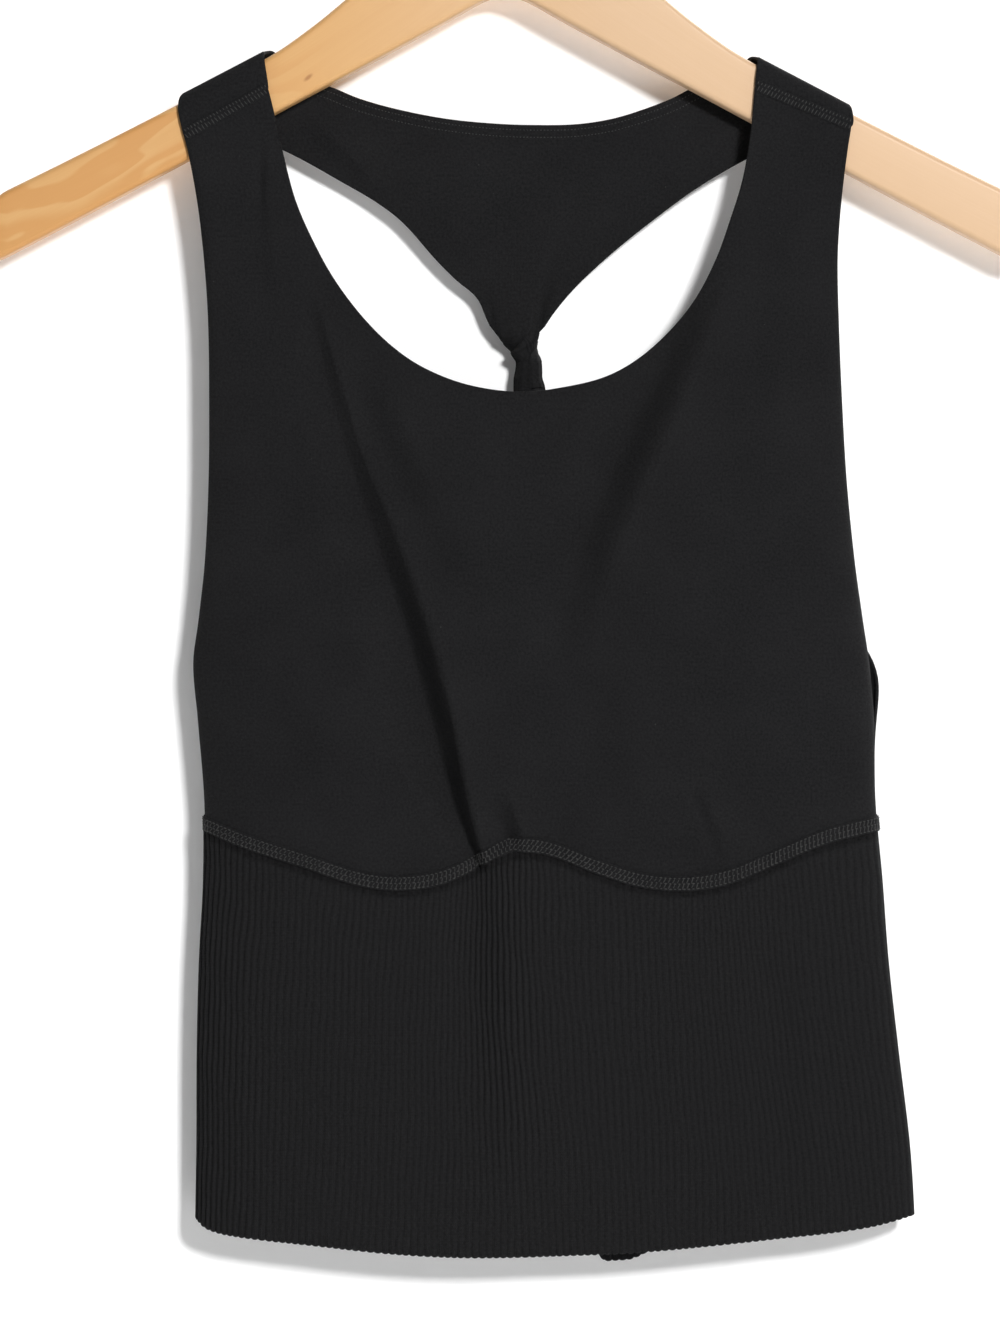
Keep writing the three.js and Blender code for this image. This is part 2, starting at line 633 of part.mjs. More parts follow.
// The back bodice in one: a yoke that hangs from both straps, the twist, and the lower back.
function backBodice() {
  const { shoulderColumns, yokeArm, twistColumns, yokeRows, twistRows, lowerBackRows } = GRID;

  const yokeEdge = (seam, rows, count, shift) => {
    const bend = { x: mix(seam.x, rows[0].x, shift), z: mix(seam.z, rows[0].z, 0.55) };
    const strap = along([seam, bend, rows[0]], shoulderColumns);
    return [...strap.slice(0, -1), ...along(rows, count)];
  };
  const foot = (t) => ({ x: mix(YOKE_FOOT.left, YOKE_FOOT.right, t), z: TWIST.top });
  const lowLeft = yokeEdge(seamHeight("left", 0, BACK), [...YOKE_ARMHOLE_LEFT, foot(0)], yokeArm, 0.15);
  const lowRight = yokeEdge(seamHeight("right", 0, BACK), [...YOKE_ARMHOLE_RIGHT, foot(1)], yokeArm, 0.15);
  const feet = [];
  for (let i = 1; i < twistColumns; i++) feet.push(foot(i / twistColumns));
  const low = [...lowLeft, ...feet, ...lowRight.reverse()];
  const edge = 2 * yokeArm + twistColumns;
  const highLeft = yokeEdge(seamHeight("left", 1, BACK), BACK_NECK, edge, 0.7);
  const highRight = yokeEdge(seamHeight("right", 1, BACK), [...BACK_NECK].reverse(), edge, 0.5);
  const high = [...highLeft, ...highRight.slice(0, shoulderColumns).reverse()];
  const yokeAt = (u, v) => {
    const from = between(low, u);
    const to = between(high, u);
    const x = mix(from.x, to.x, v);
    const z = mix(from.z, to.z, v);
    if (z > arcMiddleAt(x)) return overHanger(x, z, BACK);
    return onTwist(x, z).add(vector(0, foldsAt(YOKE_FOLDS, x, z), 0));
  };
  const columns = low.length - 1;
  const onStrip = (u, first, count) => clamp((u * count - first) / twistColumns);
  const yoke = patch(columns, yokeRows, yokeAt, (u, v) =>
    gathered(onStrip(u, lowLeft.length - 1, columns), mix(TWIST.top, TWIST.top + 84, v)),
  );

  const twistAt = (u, v) => {
    const pinch = ease(0, 0.3, v) * ease(1, 0.7, v);
    const left = mix(mix(LOWER_BACK_HEAD.left, YOKE_FOOT.left, v), TWIST.x - TWIST.halfWidth, pinch);
    const right = mix(mix(LOWER_BACK_HEAD.right, YOKE_FOOT.right, v), TWIST.x + TWIST.halfWidth, pinch);
    return onTwist(mix(left, right, u), mix(TWIST.bottom, TWIST.top, v));
  };
  const twist = patch(twistColumns, twistRows, twistAt, (u, v) =>
    gathered(u, mix(TWIST.bottom, TWIST.top, v)),
  );

  const head = (t) => {
    const x = mix(LOWER_BACK_HEAD.left, LOWER_BACK_HEAD.right, t);
    return { q: shareAt(x, TWIST.bottom), z: TWIST.bottom };
  };
  const armhole = (side, end) => {
    const rows = [...LOWER_BACK_EDGE.map((row) => ({ x: row.share * 120, z: row.z }))];
    rows.push({ x: side * end.q * 120, z: end.z });
    return along(rows, yokeArm).map((p) => ({ q: (side * p.x) / 120, z: p.z }));
  };
  const heads = [];
  for (let i = 1; i < twistColumns; i++) heads.push(head(i / twistColumns));
  const top = [...armhole(-1, head(0)), ...heads, ...armhole(1, head(1)).reverse()];
  const lowerBackAt = (u, v) => {
    const q = mix(-1, 1, u);
    const end = between(top, u);
    return onBody(mix(q, end.q, v), mix(backSeamAt(q) + SEAM_GAP / 2, end.z, v), BACK);
  };
  const lowerBack = patch(edge, lowerBackRows, lowerBackAt, (u, v) =>
    gathered(onStrip(u, yokeArm, edge), mix(TWIST.bottom - 160, TWIST.bottom, v)),
  );
  return { yoke, twist, lowerBack };
}

// A rib panel: a rib is a raised column that flows from the underbust seam to the hem.
function ribPanel(face) {
  const flowAt = through(RIB_FLOW, "hem", "seam");
  const pointAt = (u, v) => {
    const q = face * mix(1, -1, u);
    const atSeam = face === FRONT ? flowAt(q) : q;
    const seam = face === FRONT ? frontSeamHeight(atSeam) : backSeamAt(atSeam);
    const z = mix(hemHeight(q, face), seam - SEAM_GAP / 2, v);
    return onBody(mix(q, atSeam, v), z, face);
  };
  return ribbedWall(2 * RIB_COUNT, GRID.ribRows, GRID.ribInnerStep, pointAt);
}

// The hanger: rounded sections along its length, the same on both sides.
function hangerBody(manifold) {
  const bottomAt = through(HANGER_EDGES, "x", "bottom");
  const section = (x, top, bottom, thickness, round) => {
    const ring = [];
    const corners = [
      { y: 1, z: 1, start: 0 },
      { y: -1, z: 1, start: 1 },
      { y: -1, z: -1, start: 2 },
      { y: 1, z: -1, start: 3 },
    ];
    for (const corner of corners) {
      for (let k = 0; k <= GRID.hangerSection; k++) {
        const angle = ((corner.start + k / GRID.hangerSection) * Math.PI) / 2;
        const y = corner.y * (thickness / 2 - round) + round * Math.cos(angle);
        const z = corner.z * ((top - bottom) / 2 - round) + round * Math.sin(angle);
        ring.push(vector(x, y, (top + bottom) / 2 + z));
      }
    }
    return ring;
  };
  const half = HANGER_EDGES.map((row) =>
    section(row.x, row.top, row.bottom, HANGER_THICKNESS, HANGER_EDGE_ROUND),
  );
  const last = HANGER_EDGES.at(-1);
  for (const share of [0.5, 0.8, 0.95]) {
    const x = mix(last.x, HANGER_TIP.x, share);
    const size = Math.sqrt(1 - share ** 2);
    const centre = mix((last.top + last.bottom) / 2, HANGER_TIP.z, share);
    const reach = ((last.top - last.bottom) / 2) * size;
    const thickness = HANGER_THICKNESS * mix(1, size, 0.6);
    const round = Math.min(HANGER_EDGE_ROUND, thickness / 2.2, reach * 0.9);
    half.push(section(x, centre + reach, centre - reach, thickness, round));
  }
  const mirrored = half.slice(1).reverse().map((ring) => ring.map((p) => vector(-p.x, p.y, p.z)));
  const radius = HOOK_WIRE / 2 + HOOK_SOCKET_GAP;
  const neck = HANGER_EDGES[0].top;
  const ends = [neck - HOOK_SOCKET_DEPTH - HOOK_SOCKET_GAP, neck + radius];
  const bore = ends.map((z) => circle(vector(0, 0, z), vector(1, 0, 0), vector(0, 1, 0), radius, GRID.boreSides));
  const solid = (geometry) =>
    new manifold.Manifold(
      new manifold.Mesh({
        numProp: 3,
        vertProperties: geometry.getAttribute("position").array,
        triVerts: new Uint32Array(geometry.getIndex().array),
      }),
    );
  const mesh = solid(loft([...mirrored, ...half])).subtract(solid(loft(bore))).getMesh();
  const bored = new THREE.BufferGeometry();
  bored.setAttribute("position", new THREE.Float32BufferAttribute(mesh.vertProperties, 3));
  bored.setIndex([...mesh.triVerts]);
  bored.computeVertexNormals();
  return bored;
}

// The hook: a wire that rises from the neck, swings out and closes over the rail, open on one side.
function hangerHook() {
  const reach = HOOK_INNER_RADIUS + HOOK_WIRE / 2;
  const foot = HANGER_EDGES[0].top - HOOK_SOCKET_DEPTH;
  const path = [
    vector(0, 0, foot),
    vector(0, 0, foot + 14),
    vector(0, 0, -58),
    vector(1.2, 0, -50),
    vector(6, 0, -42.5),
  ];
  for (let degrees = -50; degrees <= 205; degrees += 25.5) {
    const angle = (degrees / 180) * Math.PI;
    path.push(vector(reach * Math.cos(angle), 0, reach * Math.sin(angle) - HOOK_INNER_RADIUS));
  }
  const curve = new THREE.CatmullRomCurve3(path, false, "centripetal");
  curve.arcLengthDivisions = 800;
  const rings = [];
  for (let r = 0; r <= GRID.hookRings; r++) {
    const centre = curve.getPointAt(r / GRID.hookRings);
    const tangent = curve.getTangentAt(r / GRID.hookRings);
    const aside = vector(tangent.z, 0, -tangent.x).normalize();
    rings.push(circle(centre, aside, vector(0, 1, 0), HOOK_WIRE / 2, GRID.hookSection));
  }
  return loft(rings);
}

const manifold = await Module();
manifold.setup();

const top = new THREE.Group();
function add(name, geometry, material) {
  const mesh = new THREE.Mesh(geometry, material);
  mesh.name = name;
  top.add(mesh);
}
const back = backBodice();
add("front_bodice", frontBodice(), jersey);
add("back_bodice", wall(joined([back.yoke, back.twist, back.lowerBack])), jersey);
add("front_rib", ribPanel(FRONT), rib);
add("back_rib", ribPanel(BACK), rib);
add("hanger_body", hangerBody(manifold), wood);
add("hanger_hook", hangerHook(), steel);

export default top;
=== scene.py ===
# %% [markdown]
# # A crop top on a wooden hanger
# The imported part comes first: six solids in metres, with the hook's inner top at the origin.
# Everything below is built round it, so a piece goes where its solid says and nothing is fitted by eye.

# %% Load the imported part
import math
import bpy
import numpy as np
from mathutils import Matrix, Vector, kdtree


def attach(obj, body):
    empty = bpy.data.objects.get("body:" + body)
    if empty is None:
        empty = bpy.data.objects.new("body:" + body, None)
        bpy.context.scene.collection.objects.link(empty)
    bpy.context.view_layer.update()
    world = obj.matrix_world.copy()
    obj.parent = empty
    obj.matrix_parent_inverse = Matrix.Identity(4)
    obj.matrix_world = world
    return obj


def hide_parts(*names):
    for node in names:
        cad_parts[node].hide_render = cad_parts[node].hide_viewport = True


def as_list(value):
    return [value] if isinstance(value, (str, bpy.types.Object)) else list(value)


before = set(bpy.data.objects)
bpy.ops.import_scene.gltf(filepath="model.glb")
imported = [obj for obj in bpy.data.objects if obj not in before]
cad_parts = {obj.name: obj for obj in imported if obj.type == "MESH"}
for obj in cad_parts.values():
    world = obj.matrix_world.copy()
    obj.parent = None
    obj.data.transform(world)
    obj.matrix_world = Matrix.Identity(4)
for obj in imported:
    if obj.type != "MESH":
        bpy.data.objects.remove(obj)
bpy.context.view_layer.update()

# %% [markdown]
# ## The camera
# The top hangs straight down and is seen square on from a little over two metres, so a long lens keeps
# its sides nearly parallel. The frame cuts the hanger off on three sides, and the camera does the same.

# %% Camera
lens = bpy.data.cameras.new("camera")
lens.lens = 135
lens.sensor_width = 36
camera = bpy.data.objects.new("camera", lens)
camera.location = (-0.0023, -2.0825, -0.3991)
camera.rotation_euler = (math.radians(90), 0, 0)
bpy.context.scene.collection.objects.link(camera)
bpy.context.scene.camera = camera
print("camera at", tuple(camera.location))

# %% [markdown]
# ## Values and nodes
# Finishes and stitches are both trees of nodes. Long chains of Math nodes are hard to read, so a small
# class wraps a socket and gives it the signs of arithmetic: each sign adds one Math node. Any other node
# comes from one method that takes the node's type, its settings and what goes into its sockets.

# %% A socket that can be reckoned with, and a tree that makes nodes
def maths(operation, swapped=False):
    """A method of a value that adds one Math node and gives its result as a value."""
    def method(self, *others):
        values = (*others, self) if swapped else (self, *others)
        return self.nodes.node("ShaderNodeMath", {"operation": operation}, dict(enumerate(values)))

    return method


class Value:
    def __init__(self, nodes, link):
        self.nodes = nodes
        self.link = link

    __add__ = __radd__ = maths("ADD")
    __sub__ = maths("SUBTRACT")
    __rsub__ = maths("SUBTRACT", swapped=True)
    __mul__ = __rmul__ = maths("MULTIPLY")
    __pow__ = maths("POWER")
    larger = maths("MAXIMUM")
    sine = maths("SINE")
    fraction = maths("FRACT")
    size = maths("ABSOLUTE")

    def between(self, low, high):
        settings = {"interpolation_type": "SMOOTHSTEP"}
        return self.nodes.node("ShaderNodeMapRange", settings, {0: self, 1: low, 2: high})


class Nodes:
    def __init__(self, tree):
        self.tree = tree

    def node(self, kind, settings=None, sockets=None, output=0):
        """Make a node, set it up, fill or link its sockets, and give one output as a value."""
        made = self.tree.nodes.new(kind)
        for name, value in (settings or {}).items():
            setattr(made, name, value)
        for name, value in (sockets or {}).items():
            if isinstance(value, Value):
                self.tree.links.new(value.link, made.inputs[name])
            else:
                made.inputs[name].default_value = value
        return Value(self, made.outputs[output]) if len(made.outputs) else made


class Finish(Nodes):
    def __init__(self, name):
        self.material = bpy.data.materials.new(name)
        self.material.use_nodes = True
        super().__init__(self.material.node_tree)
        self.tree.nodes.clear()

    def place(self):
        """Where a point of the piece is, in metres."""
        return self.node("ShaderNodeTexCoord", output="Object")

    def apart(self, vector):
        """The three parts of a vector."""
        outputs = self.node("ShaderNodeSeparateXYZ", {}, {0: vector}).link.node.outputs
        return [Value(self, output) for output in outputs]

    def vector(self, operation, first, second):
        return self.node("ShaderNodeVectorMath", {"operation": operation}, {0: first, 1: second})

    def colour(self, factor, first, second):
        kinds = {"data_type": "RGBA"}
        return self.node("ShaderNodeMix", kinds, {0: factor, 6: first, 7: second}, output=2)

    def bump(self, height, distance, strength):
        sockets = {"Height": height, "Distance": distance, "Strength": strength}
        return self.node("ShaderNodeBump", {}, sockets)

    def noise(self, vector, scale, detail, roughness=0.5):
        sockets = {"Vector": vector, "Scale": scale, "Detail": detail, "Roughness": roughness}
        return self.node("ShaderNodeTexNoise", {}, sockets)

    def surface(self, **sockets):
        named = {name.replace("_", " "): value for name, value in sockets.items()}
        return self.shown(self.node("ShaderNodeBsdfPrincipled", {}, named))

    def shown(self, shader):
        self.node("ShaderNodeOutputMaterial", {}, {"Surface": shader})
        print(self.material.name, "has", len(self.tree.nodes), "nodes")
        return self.material


def paint(red, green, blue):
    """A colour as a screen shows it, from 0 to 255, turned into the linear one that nodes take."""
    share = np.array([red, green, blue]) / 255
    linear = np.where(share > 0.04045, ((share + 0.055) / 1.055) ** 2.4, share / 12.92)
    return (*linear.tolist(), 1.0)


print("helpers for finishes are ready")

# %% [markdown]
# ## Jersey
# The bodice is a matt double jersey in black. Close up, jersey is columns of small V-shaped stitches, so
# the height is made of slanted arms that meet in the middle of each column. They follow the cloth's own
# UV map, in millimetres, and so turn with the straps. Two noises add the mottling and the soft hand of
# a brushed cotton, and a little sheen lifts the edges, as fluff does.

# %% Jersey
JERSEY_STITCH = 0.62
MATT_CLOTH = {"Specular_IOR_Level": 0.06, "Sheen_Weight": 0.012, "Sheen_Roughness": 0.5}
KNIT_BUMP = 0.0003


def knit_height(across, along, pitch):
    side = ((across * (1 / pitch)).fraction() - 0.5).size() * 2
    arm = ((along * (1 / (pitch * 0.9)) + side * 0.6) * math.tau).sine() * 0.5 + 0.5
    return arm * (1 - side ** 4)


def cloth_map(finish, pitch):
    """The cloth's UV map, and the height of its knit."""
    uv = finish.node("ShaderNodeUVMap", {"uv_map": "cloth"})
    across, along, _ = finish.apart(uv)
    return uv, knit_height(across, along, pitch)


def jersey_finish():
    finish = Finish("jersey")
    uv, knit = cloth_map(finish, JERSEY_STITCH)
    mottle = finish.noise(uv, 0.9, 5.0, 0.7)
    cloudy = finish.noise(uv, 0.035, 2.0)
    fluff = finish.noise(finish.place(), 900.0, 2.0)
    shade = mottle.between(0.3, 0.7) * 0.5 + cloudy * 0.3 + knit * 0.2
    base = finish.colour(shade, paint(14, 14, 15), paint(42, 42, 43))
    flecks = finish.noise(uv, 0.5, 1.0).between(0.8, 0.86)
    height = knit * 0.8 + fluff * 0.6 + mottle * 0.8
    return finish.surface(Base_Color=finish.colour(flecks, base, paint(72, 72, 70)), **MATT_CLOTH,
                          Roughness=0.88 + fluff * 0.08, Normal=finish.bump(height, KNIT_BUMP, 0.8))


jersey = jersey_finish()

# %% [markdown]
# ## Rib knit
# The waist is a plain rib: the ridges are real in the mesh, so the finish adds only what is finer. The
# grooves are a little darker, because light is lost between two ridges, and each ridge has its knit.

# %% Rib knit
RIB_STITCH = 0.74


def rib_finish():
    finish = Finish("rib_knit")
    uv, knit = cloth_map(finish, RIB_STITCH)
    # The crest attribute is painted shade: darker in the grooves, and darker just under the seam band as its
    # shadow.
    crest = finish.node("ShaderNodeAttribute", {"attribute_name": "crest"}, output="Fac")
    mottle = finish.noise(uv, 0.9, 4.0, 0.65)
    # A slow noise lifts the painted groove shade here and there, so that it is uneven.
    uneven_groove_shade = finish.noise(uv, 0.25, 3.0, 0.6).between(0.3, 0.7)
    open_crest = crest + (1 - crest) * uneven_groove_shade * 0.35
    shade = mottle.between(0.3, 0.7) * 0.35 + open_crest * 0.55 + knit * 0.1
    return finish.surface(Base_Color=finish.colour(shade, paint(4, 4, 4), paint(37, 37, 38)), **MATT_CLOTH,
                          Roughness=0.86 + mottle * 0.1, Normal=finish.bump(knit + mottle, KNIT_BUMP, 0.7))


rib_knit = rib_finish()

# %% [markdown]
# ## Thread
# The seams are sewn in black thread that is glossier than the cloth, so it reads as a dotted grey line.

# %% Thread
def thread_finish():
    finish = Finish("thread")
    twist = finish.noise(finish.place(), 2600.0, 2.0)
    base = finish.colour(twist, paint(30, 30, 30), paint(60, 60, 59))
    return finish.surface(Base_Color=base, Roughness=0.6, Specular_IOR_Level=0.4,
                          Normal=finish.bump(twist, 0.00005, 0.5))


thread = thread_finish()

# %% [markdown]
# ## Wood
# The hanger is a pale lacquered hardwood. Its grain runs along each arm, so the mesh carries an attribute
# with the distance along the arm, across it and through it. Fine streaks are a noise that is stretched
# along the arm. The left arm was sawn flat, and there the year rings show as broad darker tongues with
# thin pale edges. They come from one slow noise that is cut into bands. A small knot shows on that arm.

# %% Wood
KNOT_PLACE = (-91.8, -6.5, -6.0)
KNOT_SHAPE = (0.4, 0.75, 0.4)


def wood_finish():
    finish = Finish("hanger_wood")
    grain = finish.node("ShaderNodeAttribute", {"attribute_name": "grain"}, output="Vector")
    along, across, _ = finish.apart(grain)

    def streaks(stretch, thin, detail):
        return finish.noise(finish.vector("MULTIPLY", grain, (stretch, thin, thin)), 1.0, detail, 0.62)

    fine = streaks(0.02, 1.3, 5.0)
    broad = streaks(0.006, 0.16, 2.0)
    slow = streaks(0.013, 0.05, 1.5)
    rings = (slow * 5.5 + across * 0.03).fraction()
    tongue = rings.between(0.0, 0.1) * (1 - rings.between(0.35, 0.95))
    leftward = 1 - along.between(-150.0, -60.0)
    rightward = along.between(-110.0, 70.0)
    oval = finish.vector("MULTIPLY", finish.vector("SUBTRACT", grain, KNOT_PLACE), KNOT_SHAPE)
    from_knot = finish.node("ShaderNodeVectorMath", {"operation": "LENGTH"}, {0: oval}, output="Value")
    knot = 1 - from_knot.between(0.3, 1.1)
    warm = finish.colour(fine * 0.5 + broad * 0.5, paint(208, 164, 108), paint(197, 149, 93))
    figured = finish.colour(tongue * leftward * 0.55, warm, paint(190, 132, 70))
    pale = finish.colour(fine * 0.6 + broad * 0.4, paint(208, 176, 143), paint(201, 166, 129))
    plain = finish.colour(rightward, figured, pale)
    return finish.surface(
        Base_Color=finish.colour(knot * 0.6, plain, paint(140, 84, 44)), Roughness=0.4 + fine * 0.12,
        Specular_IOR_Level=0.3, Coat_Weight=0.1, Coat_Roughness=0.25, Normal=finish.bump(fine, 0.0001, 0.25),
    )


hanger_wood = wood_finish()

# %% [markdown]
# ## Steel
# The hook is a bright plated wire. Its brightness is all reflection, so the finish is mostly a low
# roughness with faint marks where it has slid along rails.

# %% Steel
def steel_finish():
    finish = Finish("hook_steel")
    marks = finish.noise(finish.place(), 700.0, 4.0, 0.7)
    base = finish.colour(marks, paint(200, 202, 205), paint(226, 227, 229))
    return finish.surface(Base_Color=base, Metallic=1.0, Roughness=0.22 + marks * 0.16,
                          Normal=finish.bump(marks, 0.00003, 0.2))


hook_steel = steel_finish()

# %% [markdown]
# ## Curves through short tables
# The garment's outline is a handful of measured rows. A smooth curve through them gives its edge at any
# height, and numpy gives it for a whole grid of points at once. All lengths are millimetres up to the
# moment when a mesh is made.

# %% Tables and curves
MM = 0.001
FRONT, BACK = -1, 1


def table(columns, text):
    rows = np.array([line.split() for line in text.strip().splitlines()], float)
    return dict(zip(columns.split(), rows.T))


def places(text):
    """Points of a line, each an x and a z, with commas between them."""
    return np.array([place.split() for place in text.split(",")], float)


def mix(a, b, t):
    return a + (b - a) * t


def ease(start, end, value):
    t = np.clip((value - start) / (end - start), 0, 1)
    return t * t * (3 - 2 * t)


def through(rows, at, column):
    """A smooth function through two columns of a table."""
    order = np.argsort(rows[at])
    x, y = rows[at][order], rows[column][order]
    low = np.maximum(np.arange(len(x)) - 1, 0)
    high = np.minimum(np.arange(len(x)) + 1, len(x) - 1)
    slope = (y[high] - y[low]) / (x[high] - x[low])

    def curve(value):
        v = np.clip(value, x[0], x[-1])
        i = np.clip(np.searchsorted(x, v) - 1, 0, len(x) - 2)
        step = x[i + 1] - x[i]
        t = (v - x[i]) / step
        rise = (t ** 3 - 2 * t ** 2 + t) * step * slope[i] + (t ** 3 - t ** 2) * step * slope[i + 1]
        return mix(y[i], y[i + 1], t * t * (3 - 2 * t)) + rise

    return curve


def lengths(line):
    """The length of a line up to each of its points."""
    return np.concatenate([[0], np.cumsum(np.linalg.norm(np.diff(line, axis=0), axis=1))])


def along(points, count):
    """Evenly spaced points on a smooth line through a few given ones."""
    p = np.array(points, float)
    p = np.vstack([2 * p[0] - p[1], p, 2 * p[-1] - p[-2]])
    t = np.linspace(0, 1, 60, endpoint=False)[:, None]
    line = []
    for a, b, c, d in zip(p, p[1:], p[2:], p[3:]):
        ab, bc, cd = [np.linalg.norm(v - u) ** 0.5 for u, v in ((a, b), (b, c), (c, d))]
        start = ((b - a) / ab - (c - a) / (ab + bc) + (c - b) / bc) * bc
        end = ((c - b) / bc - (d - b) / (bc + cd) + (d - c) / cd) * bc
        bend = (2 * t ** 3 - 3 * t ** 2 + 1) * b + (t ** 3 - 2 * t ** 2 + t) * start
        line.append(bend + (3 * t ** 2 - 2 * t ** 3) * c + (t ** 3 - t ** 2) * end)
    line = np.vstack([*line, p[-2:-1]])
    run = lengths(line)
    at = np.linspace(0, run[-1], count + 1)
    return np.stack([np.interp(at, run, line[:, k]) for k in range(line.shape[1])], axis=1)


def between(rows, u):
    """Rows of a list, read at shares of its length."""
    at = np.linspace(0, 1, len(rows))
    return [np.interp(u, at, rows[:, k]) for k in range(rows.shape[1])]


print("through a table:", round(float(through(table("x y", "0 0\n1 2\n2 0"), "x", "y")(0.5)), 3))

# %% [markdown]
# ## The hung garment
# These tables are the garment as it hangs: its outline seen from the front, and how far the middle of
# each face and the front's side edge stand from the middle plane. A hanging top is a flattened tube, so a
# section is a rounded oval. Its points are spread by the length of cloth, not by the width.

# %% Sizes of the garment
JERSEY_WALL = 1.8
SEAM_GAP = 0.3
SIDE_SEAM = -465.5
SHOULDER_FADE, ARMHOLE_FADE = (-172, -196), (-175, -215)
LOWER_TOP = -297
BODY = table("z left right front back side", """
-140 -136.2 143.4 7.7 7.7 7.7
-168 -135.3 143.6 7.7 7.7 7.7
-185 -131.5 141.5 7.8 7.7 7.5
-206 -128.2 139.6 8.3 7.8 7
-230 -125.5 138.2 9.6 8.2 6.3
-256 -123.8 138.7 11.6 8.8 5.4
-289 -123.4 140.1 14.2 9.6 4.4
-322 -123.7 142.1 16.6 10.3 3.4
-355 -125.3 145.4 18.2 11 2.2
-380 -128 148.9 19 11.4 1.2
-398 -130.2 151.6 19.2 11.7 0.5
-421 -128.3 153.6 19.2 12 0
-455 -125.6 154.2 18.6 12 0
-488 -125.4 157.1 17 11.8 0
-521 -127.1 159.6 15.4 11.5 0
-558 -128 163.7 14.2 11.2 0
-600 -128.2 168.7 13.2 11 0
-645 -129 171.4 12.6 11 0""")
FRONT_SEAM = table("x z", """
-126 -465.5
-108 -473
-83 -481
-62 -488
-46 -490.3
-29 -488.5
-14 -482.5
-3 -476.5
7 -474.3
20 -476.5
38 -483.5
56 -489
74 -490.5
91 -488
112 -479.5
133 -471
157 -465.5""")
HEM = table("x z", """
-129 -626.5
-124 -631.6
-112 -634.6
-79 -638.3
-46 -641.7
-13 -643.1
29 -642.1
62 -640.4
112 -635.4
150 -631
171 -626""")
CUPS = table("x z wide tall depth", "-62 -415 52 62 3\n88 -415 52 62 3")

left_at, right_at, front_at, back_at, side_at = [
    through(BODY, "z", name) for name in ("left", "right", "front", "back", "side")
]
front_seam_at = through(FRONT_SEAM, "x", "z")
hem_at = through(HEM, "x", "z")
print("width at the hem", round(float(right_at(-630) - left_at(-630)), 1), "mm")

# %% [markdown]
# ## Creases
# Soft cloth never hangs flat. A crease is a line down the cloth with a row for each place along it: how
# wide the slow slope on its left is, how wide the steep one on its right, and how deep it is there. The
# steep side ends in a crest, which gives the crisp line between shade and light that a soft dent lacks.
# The line that is written down is that crest.
# The longest one runs from the neck to the peak of the underbust seam, where it ends as a sharp tuck.
# The hidden back has creases of its own, of the same kind.

# %% Creases on the front, the yoke and the lower back
def creases(text):
    """A table for each crease, from rows with an empty line between two creases."""
    return [table("x z slow steep depth", rows) for rows in text.split("\n\n")]


FRONT_CREASES = creases("""
-79 -244 6 4 0
-75 -256 9 4.5 1.8
-68.5 -279 14 5.5 3
-59 -310 19 7 5
-43 -348 22 9.5 8
-30.5 -383 24 10.5 10.4
-21 -419 21 10 11.4
-15 -453 14 7 9.4
-10.5 -471 9 4.5 6.2
-8 -480 6 3 3
-7 -484 5 3 0

95 -230 10 9 0
90 -246 14 11 2.8
82 -268 18 14 5.4
73 -292 20 16 7.2
60 -320 22 17 7.6
48 -350 22 17 5.6
39 -378 20 16 3
33 -408 16 14 0

-56 -268 10 10 0
-44 -292 15 14 3.2
-30 -320 18 15 3.8
-16 -346 18 15 2.4
-4 -370 14 14 0

79 -446 4 3 0
84 -457 5 3.4 1.6
89 -469 6 4 1.1
93 -481 5 4 0.6
94 -486 4 3 0

-1 -446 7 7 0
4 -458 10 7 3.4
7 -468 9 6 4
8 -476 6 5 0

-99.5 -176 4 2 0
-98.6 -186 5 2.2 1.2
-98.8 -200 6 2.4 1.5
-97.6 -214 8 4 0.9
-94 -246 9 7 0.6
-92 -262 8 7 0

-129 -193 6 6 0
-122 -190 7 6 1.1
-113 -184 6 6 0

116 -196 9 8 0
118 -236 12 10 0.9
114 -282 12 10 0.7
112 -310 10 9 0

112 -330 14 12 0
108 -370 18 16 1
102 -412 18 15 1.2
104 -448 12 12 0

-88 -380 14 12 0
-84 -410 16 12 0.7
-72 -446 14 12 0.8
-62 -474 12 10 0

44 -400 14 13 0
50 -424 16 15 1.1
58 -452 15 13 1.1
66 -480 12 11 0

-2 -440 16 12 0
1 -482 18 14 2
2 -520 20 14 2.4
4 -560 20 14 1.6
6 -610 18 13 0

-109 -480 10 9 0
-107 -530 12 10 1.1
-110 -590 12 10 0.9
-111 -640 10 9 0.5

122 -480 16 14 0
126 -540 18 15 1
130 -600 18 15 0.9
131 -640 16 14 0.5""")
YOKE_CREASES = creases("""
-84 -166 6 6 0
-74 -176 8 7 1.8
-62 -188 8 7 2
-49 -203 6 5 0

-34 -200 8 7 0
-18 -222 8 6 0.4
-4 -243 6 5 0.4
4 -256 5 4 0

40 -206 8 8 0
29 -224 7 7 0.9
21 -243 5 5 1.2
17 -256 4 4 1
15 -264 4 4 0

96 -170 6 6 0
82 -182 7 7 0.9
66 -195 6 6 0""")
BACK_CREASES = creases("""
5 -292 5 5 0
2 -312 8 7 1.7
-14 -350 12 10 2.2
-34 -396 13 12 1.1
-44 -424 12 12 0

14 -292 5 5 0
17 -312 8 8 1.7
32 -352 12 11 2.1
50 -402 13 12 1.1
58 -430 12 12 0

-60 -352 8 8 0
-72 -380 12 10 1.4
-92 -412 12 10 1.1
-108 -440 10 9 0

84 -356 8 8 0
98 -386 11 11 1.3
118 -420 11 11 1
132 -446 10 9 0

-30 -440 10 10 0
-27 -462 12 11 1.4
-26 -500 13 12 1.2
-28 -560 12 12 0

38 -560 8 7 0
38 -600 9 8 2
39 -640 9 8 2.6
39 -652 9 8 2.6

-80 -540 12 12 0
-84 -590 14 13 1.2
-86 -640 14 13 1
-86 -652 12 12 1""")
CREST_SHARE = 0.45
CRISP, ROUND = 8, 14


